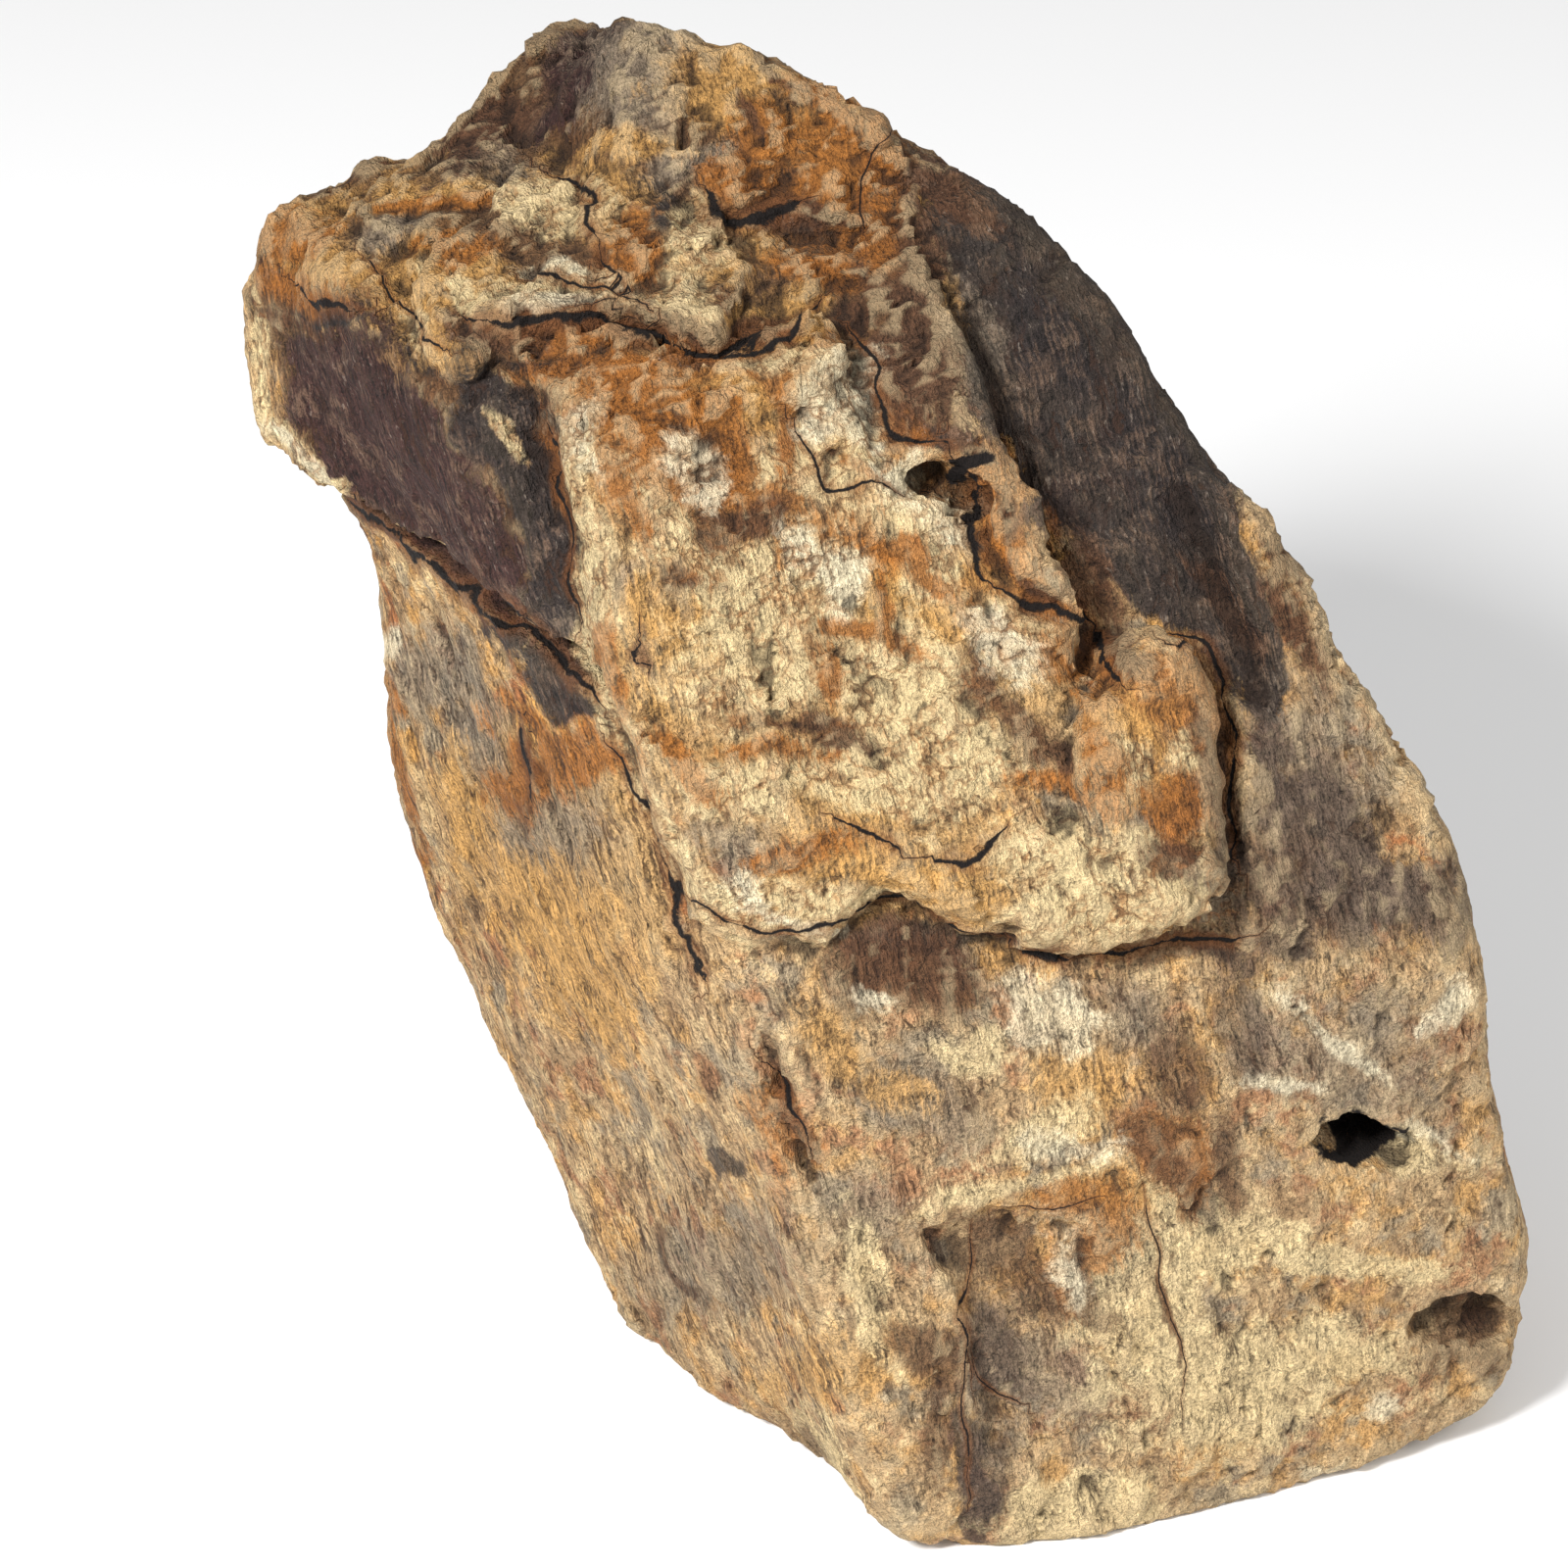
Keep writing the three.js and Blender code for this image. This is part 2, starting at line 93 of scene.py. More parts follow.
# Plates: the middle of the outer face, heading, dip, thickness, and the broken outline in
# that face (first number to the right, second up the slope).
PLATES = {
    "pale slab": dict(
        centre=(-4, -50, 183), heading=11, dip=58, thick=30,
        outline=[
            (-54, 53), (-48, 56), (-37, 57), (-22, 60), (-9, 64), (1, 64), (4, 59), (9, 45),
            (13, 35), (26, 30), (29, 19), (32, 12), (45, 5), (43, -6), (46, -25), (69, -45),
            (61, -55), (42, -59), (17, -53), (2, -41), (-20, -34), (-37, -26), (-43, -14),
            (-47, -4), (-49, 8), (-51, 27), (-53, 42)]),
    "swollen lower lip": dict(
        centre=(34, -67, 144), heading=10, dip=72, thick=26,
        outline=[
            (-34, 14), (-23, 10), (-10, 11), (4, 12), (23, 8), (35, 1), (35, -4), (27, -10),
            (20, -14), (9, -14), (-5, -11), (-16, -8), (-29, -1), (-37, 6)]),
    "left shoulder": dict(
        centre=(-25, -70, 153), heading=5, dip=77, thick=26,
        outline=[
            (-23, 25), (-14, 21), (2, 16), (24, 7), (26, -8), (15, -19), (-1, -21),
            (-11, -13), (-18, 2)]),
    "fibrous ridge": dict(
        centre=(-51, -46, 187), heading=-30, dip=70, thick=24,
        outline=[
            (-23, 41), (-16, 43), (-13, 30), (-6, 16), (-1, -2), (7, -16), (17, -31),
            (24, -43), (21, -43), (11, -26), (3, -16), (-5, -1), (-14, 18)]),
    "rusty terrace": dict(
        centre=(-38, -22, 233), heading=-4, dip=38, thick=22,
        outline=[
            (-28, -7), (-34, 3), (-27, 7), (-12, 8), (0, 4), (8, 4), (18, 12), (26, 16),
            (32, 5), (28, -5), (1, -12), (-18, -14)]),
    "upper shelf": dict(
        centre=(-59, -1, 247), heading=-8, dip=29, thick=26,
        outline=[
            (-33, -6), (-30, 4), (-17, 20), (-2, 23), (15, 27), (28, 13), (35, 4), (31, -10),
            (34, -19), (28, -22), (14, -18), (-4, -17), (-15, -20), (-19, -26), (-22, -27),
            (-28, -20)]),
    "right hump": dict(
        centre=(53, -55, 162), heading=30, dip=66, thick=30,
        outline=[
            (-10, 19), (-3, 18), (0, 24), (10, 26), (16, 20), (18, 11), (16, -4), (14, -22),
            (-2, -27), (-17, -13), (-17, 2)]),
    "sliver": dict(
        centre=(25, -31, 205), heading=18, dip=60, thick=20,
        outline=[
            (-11, 14), (-10, 18), (-6, 20), (-1, 16), (3, 9), (7, 2), (5, -7), (9, -14),
            (12, -21), (7, -18), (-2, -14), (-5, -1), (-6, 6)]),
    "dark flake": dict(
        centre=(40, -21, 189), heading=25, dip=62, thick=16,
        outline=[(-5, 11), (-1, 13), (3, 11), (7, 0), (4, -13), (-2, -11), (-6, -1)]),
    "right rim": dict(
        centre=(91, -35, 153), heading=24, dip=62, thick=26,
        outline=[
            (-18, 62), (-12, 60), (-7, 55), (0, 41), (3, 26), (9, 11), (16, -4), (20, -23),
            (18, -38), (-7, -40), (-27, -34), (-26, -15), (-22, 8), (-22, 19), (-13, 14),
            (-12, 28), (-16, 40)]),
    "slab on the back": dict(
        centre=(-10, 98, 120), heading=171, dip=87, thick=30, cell=2.6,
        outline=[
            (-66, -30), (-30, -52), (14, -46), (52, -58), (66, -10), (50, 30), (10, 38),
            (-20, 58), (-56, 44), (-76, 6)]),
}

# Hollows: as the plates, but the face is the floor of the hollow and looks into the stone.
HOLLOWS = {
    "spall scar": dict(
        centre=(29, -80.5, 50), heading=190, dip=102, thick=40,
        outline=[
            (24, 26), (9, 28), (-7, 26), (-20, 27), (-17, 10), (-13, -13), (-12, -34),
            (2, -37), (12, -30), (13, -11), (15, 10)]),
    "scar on the right": dict(
        centre=(113, 20, 88), heading=-101, dip=95, thick=60, cell=2.6,
        outline=[(-34, -44), (4, -52), (32, -30), (38, 10), (16, 44), (-20, 34), (-40, 2)]),
}

# Cracks and pits: half the width and the depth where they are widest, the direction into
# the stone, and the path of the mouth.
CRACKS = {
    "crack under the cap": (3.2, 24, (0.62, 0.76, 0.2), [
        (-117, 22, 187), (-109, 15, 185), (-98, 2, 183), (-83, -14, 183), (-75, -23, 184),
        (-68, -31, 182), (-57, -44, 178), (-49, -55, 171)]),
    "crack beside the sliver": (1.1, 12, (-0.1, 0.55, -0.83), [
        (13, -27, 213), (18, -29, 210), (20, -33, 203), (23, -38, 195), (30, -39, 192),
        (38, -40, 186)]),
    "pit above the sliver": (3.6, 9, (-0.15, 0.8, -0.58), [
        (4, -26, 211), (12, -26, 210), (22, -27, 205)]),
    "crack under the lip": (1.4, 11, (0, 0.9, 0.42), [
        (-6, -72, 144), (4, -72, 140), (18, -71, 135), (39, -69, 131), (55, -66, 131),
        (74, -60, 134)]),
    "crevice behind the terrace": (2.6, 10, (0, 0.35, -0.93), [
        (-82, -14, 238), (-65, -13, 240), (-50, -14, 241), (-38, -19, 239), (-34, -22, 238),
        (-26, -18, 240), (-12, -10, 244)]),
    "crack across the shelf": (0.9, 8, (0.1, 0.3, -0.94), [
        (-66, 18, 260), (-59, 8, 255), (-53, -1, 251), (-49, -19, 242)]),
    "fold below the peak": (3.4, 6, (0, 0.85, -0.5), [
        (-36, 11, 254), (-19, 7, 250), (-8, 6, 248), (5, 10, 250)]),
    "hole low on the right": (4.6, 26, (-0.3, 0.94, 0.12), [
        (84, -62, 82), (90, -60, 82), (97, -58, 79), (103, -56, 76), (109, -54, 73)]),
    "fibrous pocket": (6.5, 9, (-0.5, 0.85, 0.1), [
        (108, -62, 34), (116, -58, 34), (124, -54, 31), (133, -46, 26)]),
    "upper pit on the ridge": (2.6, 7, (0.5, 0.86, 0), [
        (-29, -77, 120), (-24, -78, 110), (-20, -79, 100)]),
    "lower pit on the ridge": (2.4, 7, (0.5, 0.86, 0), [
        (-22, -79, 100), (-17, -80, 91), (-12, -81, 82)]),
    "crack in the slab face": (0.9, 6, (0, 0.8, -0.6), [
        (-2, -66, 158), (11, -67, 153), (18, -66, 153), (28, -63, 155)]),
}


# Noise and relief


def outward(heading, dip):
    """Unit vector square to a face: (sin d sin h, -sin d cos h, cos d)."""
    h, d = np.radians(heading), np.radians(dip)
    return np.array([np.sin(d) * np.sin(h), -np.sin(d) * np.cos(h), np.cos(d)])


def scatter(i, j, k):
    """A repeatable number from 0 to 1 for each whole-number point:
    the fraction of 43758.5453 sin(127.1 i + 311.7 j + 74.7 k)."""
    s = np.sin(i * 127.1 + j * 311.7 + k * 74.7) * 43758.5453
    return s - np.floor(s)


def noise(q):
    """Smooth noise from -1 to 1 at points q (n, 3): the scattered numbers at the eight
    corners of each point's unit cell, blended with t t (3 - 2 t) along each side."""
    base = np.floor(q)
    t = q - base
    t = t * t * (3 - 2 * t)
    i, j, k = base.T
    u, v, w = t.T
    total = 0.0
    for a in (0, 1):
        for b in (0, 1):
            for c in (0, 1):
                share = (u if a else 1 - u) * (v if b else 1 - v) * (w if c else 1 - w)
                total = total + share * scatter(i + a, j + b, k + c)
    return 2 * total - 1


ACROSS = np.cross([1.0, 0, 0], GRAIN_LINE)
ACROSS /= np.linalg.norm(ACROSS)
THROUGH = np.cross(GRAIN_LINE, ACROSS)


def along_grain(p, length, width):
    """Points in the frame of the grain: divided by length along it and by width across."""
    return np.stack([p @ GRAIN_LINE / length, p @ ACROSS / width, p @ THROUGH / width], -1)


def relief(p):
    """How far the surface stands out at points p: swells + lumps + ribs along the grain."""
    swell = SWELL_HEIGHT * noise(p / SWELL_LENGTH + [3, 0, 0])
    lump = LUMP_HEIGHT * noise(p / LUMP_LENGTH + [0, 7, 0])
    ribs = RIB_HEIGHT * noise(along_grain(p, RIB_LENGTH, RIB_WIDTH))
    return swell + lump + ribs


# Surfaces


def fold_outward(points, quads):
    """Splits each four-sided cell along the diagonal that stands out further: with corners
    a b c d it is a-c where (c - a) . ((b - a) x (d - a)) > 0, and b-d elsewhere."""
    a, b, c, d = (points[quads[:, n]] for n in range(4))
    lift = np.einsum("ij,ij->i", c - a, np.cross(b - a, d - a))
    proud = (lift > 0)[:, None]
    first = np.where(proud, quads[:, [0, 1, 2]], quads[:, [0, 1, 3]])
    second = np.where(proud, quads[:, [0, 2, 3]], quads[:, [1, 2, 3]])
    return np.concatenate([first, second])


def box_lattice(low, high, cell):
    """The points on the six sides of a box, and its cells as corners a b c d seen from
    outside. A point is low + (i, j, k) / (l, m, n) (high - low); those inside are left out."""
    low, high = np.array(low, float), np.array(high, float)
    count = np.maximum(2, np.round((high - low) / cell).astype(int))
    i, j, k = np.indices(count + 1)
    skin = (i == 0) | (i == count[0]) | (j == 0) | (j == count[1]) | (k == 0) | (k == count[2])
    number = np.full(count + 1, -1)
    number[skin] = np.arange(skin.sum())
    points = low + np.stack([i[skin], j[skin], k[skin]], -1) / count * (high - low)
    quads = []
    for axis in range(3):
        for end in (0, -1):
            side = np.take(number, end, axis=axis)
            cell_corners = [side[:-1, :-1], side[1:, :-1], side[1:, 1:], side[:-1, 1:]]
            if (axis == 1) != (end == 0):
                cell_corners.reverse()
            quads.append(np.stack([c.ravel() for c in cell_corners], -1))
    return points, np.concatenate(quads)


def block(centre, low, high, cell, faces):
    """A block bounded by fracture faces. Each lattice point p gives a direction
    d = p / |p|, and the surface lies at r d with 1 / r = (sum (n.d / reach)^k)^(1 / k),
    then moves along the blended normal by the relief, and no lower than the ground."""
    points, quads = box_lattice(low, high, cell)
    d = points / np.linalg.norm(points, axis=1, keepdims=True)
    normals = np.array([outward(h, dip) for h, dip, _ in faces])
    reach = np.array([face[2] for face in faces])
    share = np.maximum(0, d @ normals.T) / reach * 100
    r = 100 * (share ** EDGE_SHARPNESS).sum(1) ** (-1 / EDGE_SHARPNESS)
    out = (share ** (EDGE_SHARPNESS - 1) / reach) @ normals
    out /= np.linalg.norm(out, axis=1, keepdims=True)
    p = np.array(centre, float) + d * r[:, None]
    p += out * relief(p)[:, None]
    p[:, 2] = np.maximum(p[:, 2], 0)
    return p, fold_outward(p, quads)


def ring_surface(grid):
    """Closes a grid of points (rings, stations, 3) whose first and last ring are each one
    point, as cells between rings and fans at the two ends."""
    rings, stations, _ = grid.shape
    inner = np.arange((rings - 2) * stations).reshape(rings - 2, stations) + 1
    points = np.concatenate([grid[0, :1], grid[1:-1].reshape(-1, 3), grid[-1, :1]])
    after = np.roll(inner, -1, axis=1)
    quads = np.stack([inner[:-1], inner[1:], after[1:], after[:-1]], -1).reshape(-1, 4)
    tris = fold_outward(points, quads)
    top = np.stack([np.zeros(stations, int), inner[0], after[0]], -1)
    end = np.stack([np.full(stations, len(points) - 1), after[-1], inner[-1]], -1)
    tris = np.concatenate([tris, top, end])
    a, b, c = (points[tris[:, n]] for n in range(3))
    if np.einsum("ij,ij->", a, np.cross(b, c)) < 0:
        tris = tris[:, ::-1]
    return points, tris


def walk(outline, step):
    """Points every step along a closed outline, its own corners among them."""
    corners = np.array(outline, float)
    runs = []
    for start, end in zip(corners, np.roll(corners, -1, axis=0)):
        count = max(1, int(round(np.linalg.norm(end - start) / step)))
        runs.append(start + (end - start) * (np.arange(count) / count)[:, None])
    return np.concatenate(runs)


def plate(centre, heading, dip, thick, outline, cell=PLATE_CELL, ragged=1.0):
    """A plate with a broken outline. Rings run from the middle of the outer face over the
    rim to the middle of the inner face: ring (x, z) is the outline times x s at height
    thick / 2 (z s - 1), with s = (|x|^m + |z|^m)^(-1 / m), and then the relief. The rim is
    ragged: noise moves it in and out in the plane of the plate."""
    n = outward(heading, dip)
    h = np.radians(heading)
    right = np.array([np.cos(h), np.sin(h), 0])
    up = np.cross(n, right)
    station = walk(outline, cell)
    length = np.linalg.norm(station, axis=1)
    face_rings = int(np.ceil(length.max() / cell / 1.3))
    rim_rings = max(3, int(round(thick / 3.0)))
    face = 1 - (1 - np.linspace(0, 1, face_rings + 1)) ** 1.25
    x = np.concatenate([face, np.ones(rim_rings), [0.6, 0.0]])
    rim = 1 - 2 * np.arange(1, rim_rings + 1) / rim_rings
    z = np.concatenate([np.ones(face_rings + 1), rim, [-1, -1]])
    s = (np.abs(x) ** RIM_SHARPNESS + np.abs(z) ** RIM_SHARPNESS) ** (-1 / RIM_SHARPNESS)
    flat = station[None] * (x * s)[:, None, None]
    p = np.array(centre, float) + flat[..., :1] * right + flat[..., 1:] * up
    p = p + n * (thick / 2 * (z * s - 1))[:, None, None]
    shape = p.shape
    p = p.reshape(-1, 3)
    bite = ragged * (1.5 * noise(p / 7.0) + 0.8 * noise(p / 3.1))
    away = (station / length[:, None])[None] * (x ** 3)[:, None, None]
    away = away.reshape(-1, 2) * bite[:, None]
    p = p + away[:, :1] * right + away[:, 1:] * up + n * relief(p)[:, None]
    p = p.reshape(shape)
    p[0], p[-1] = p[0, 0], p[-1, 0]
    return ring_surface(p)


def smooth_path(points, count):
    """Count points on a smooth curve through the given ones: cubic pieces whose slope at
    each point is half the step from the point before to the point after."""
    q = np.array(points, float)
    q = np.concatenate([[2 * q[0] - q[1]], q, [2 * q[-1] - q[-2]]])
    t = np.linspace(0, len(points) - 1 - 1e-9, count)
    i = t.astype(int)
    f = (t - i)[:, None]
    a, b, c, d = q[i], q[i + 1], q[i + 2], q[i + 3]
    return 0.5 * (2 * b + (c - a) * f + (2 * a - 5 * b + 4 * c - d) * f ** 2
                  + (3 * b - a - 3 * c + d) * f ** 3)


def crack(wide, deep, into, path):
    """A crack: a flat ellipse carried along the mouth, pinched at both ends. At t from 0 to
    1 the point at angle a is path + side wide w cos a + into deep w sin a, with
    w = sqrt(sin(pi t)), and noise makes both walls ragged."""
    length = np.linalg.norm(np.diff(np.array(path, float), axis=0), axis=1).sum()
    rings = max(10, int(length / CRACK_CELL))
    around = 22
    line = smooth_path(path, rings + 1)
    inward = np.array(into, float) / np.linalg.norm(into)
    side = np.cross(np.gradient(line, axis=0), inward)
    side /= np.linalg.norm(side, axis=1, keepdims=True)
    t = np.linspace(0, 1, rings + 1)
    w = np.sqrt(np.maximum(0, np.sin(np.pi * t)))
    wander = noise(line / 6.0) * min(wide, 1.6) * 0.7
    line = line + side * (wander * w)[:, None]
    w = w * (1 + 0.35 * noise(line / 4.0 + 5))
    w[0] = w[-1] = 0
    angle = 2 * np.pi * np.arange(around) / around
    grid = (line[:, None] + side[:, None] * (wide * w[:, None] * np.cos(angle))[..., None]
            + inward * (deep * w[:, None] * np.sin(angle))[..., None])
    return ring_surface(grid)


# Joining and cutting


def mesh_object(name, points, tris):
    """A mesh object from points in millimetres and triangles, outward faces."""
    mesh = bpy.data.meshes.new(name)
    mesh.vertices.add(len(points))
    mesh.vertices.foreach_set("co", np.asarray(points, np.float32).ravel())
    mesh.loops.add(tris.size)
    mesh.loops.foreach_set("vertex_index", tris.astype(np.int32).ravel())
    mesh.polygons.add(len(tris))
    mesh.polygons.foreach_set("loop_start", np.arange(0, tris.size, 3, dtype=np.int32))
    mesh.update(calc_edges=True)
    mesh.validate()
    thing = bpy.data.objects.new(name, mesh)
    bpy.context.scene.collection.objects.link(thing)
    return thing


def combine(base, others, operation):
    """Joins or cuts the base with each of the others in turn, and deletes the others."""
    for other in others:
        step = base.modifiers.new(other.name, "BOOLEAN")
        step.operation = operation
        step.object = other
        step.solver = "MANIFOLD"
    graph = bpy.context.evaluated_depsgraph_get()
    result = bpy.data.meshes.new_from_object(base.evaluated_get(graph))
    base.modifiers.clear()
    old = base.data
    base.data = result
    bpy.data.meshes.remove(old)
    for other in others:
        mesh = other.data
        bpy.data.objects.remove(other)
        bpy.data.meshes.remove(mesh)
    return base


def even_mesh(thing):
    """The same surface on an even net of small cells."""
    net = thing.modifiers.new("even net", "REMESH")
    net.mode = "VOXEL"
    net.voxel_size = NET_CELL
    graph = bpy.context.evaluated_depsgraph_get()
    result = bpy.data.meshes.new_from_object(thing.evaluated_get(graph))
    thing.modifiers.clear()
    old = thing.data
    thing.data = result
    bpy.data.meshes.remove(old)
    return thing


def mesh_arrays(mesh):
    """The points and triangles of a mesh as arrays."""
    mesh.calc_loop_triangles()
    points = np.empty(len(mesh.vertices) * 3)
    mesh.vertices.foreach_get("co", points)
    tris = np.empty(len(mesh.loop_triangles) * 3, np.int32)
    mesh.loop_triangles.foreach_get("vertices", tris)
    return points.reshape(-1, 3), tris.reshape(-1, 3)


def vertex_normals(points, tris):
    """Area-weighted normals: the sum of each point's triangle cross products, made unit."""
    a, b, c = (points[tris[:, n]] for n in range(3))
    face = np.cross(b - a, c - a)
    total = np.zeros_like(points)
    for n in range(3):
        for axis in range(3):
            total[:, axis] += np.bincount(tris[:, n], face[:, axis], len(points))
    return total / np.maximum(np.linalg.norm(total, axis=1, keepdims=True), 1e-12)


def rough_stone():
    """The stone before its fine relief: blocks and plates joined, hollows and cracks cut."""
    stone = mesh_object("rough", *block(**BODY))
    added = [mesh_object("cap", *block(**CAP)), mesh_object("peak", *block(**PEAK))]
    added += [mesh_object(name, *plate(**shape)) for name, shape in PLATES.items()]
    combine(stone, added, "UNION")
    cut = [mesh_object(name, *plate(**shape)) for name, shape in HOLLOWS.items()]
    cut += [mesh_object(name, *crack(*shape)) for name, shape in CRACKS.items()]
    return even_mesh(combine(stone, cut, "DIFFERENCE"))


rough = rough_stone()


# Look of the stone


# The sheet that the stains are laid out on. It is held square to the line of sight, and a
# place on it is given in fifths of a millimetre, right and down from its upper left corner.
EYE_WAY = 1200.0
EYE_RISE = np.radians(30)
SHEET_MIDDLE = np.array([-19.4, 0.0, 128.0])
SHEET_CENTRE = 800
SHEET_UNIT = 0.2
EYE = SHEET_MIDDLE + EYE_WAY * np.array([0, -np.cos(EYE_RISE), np.sin(EYE_RISE)])

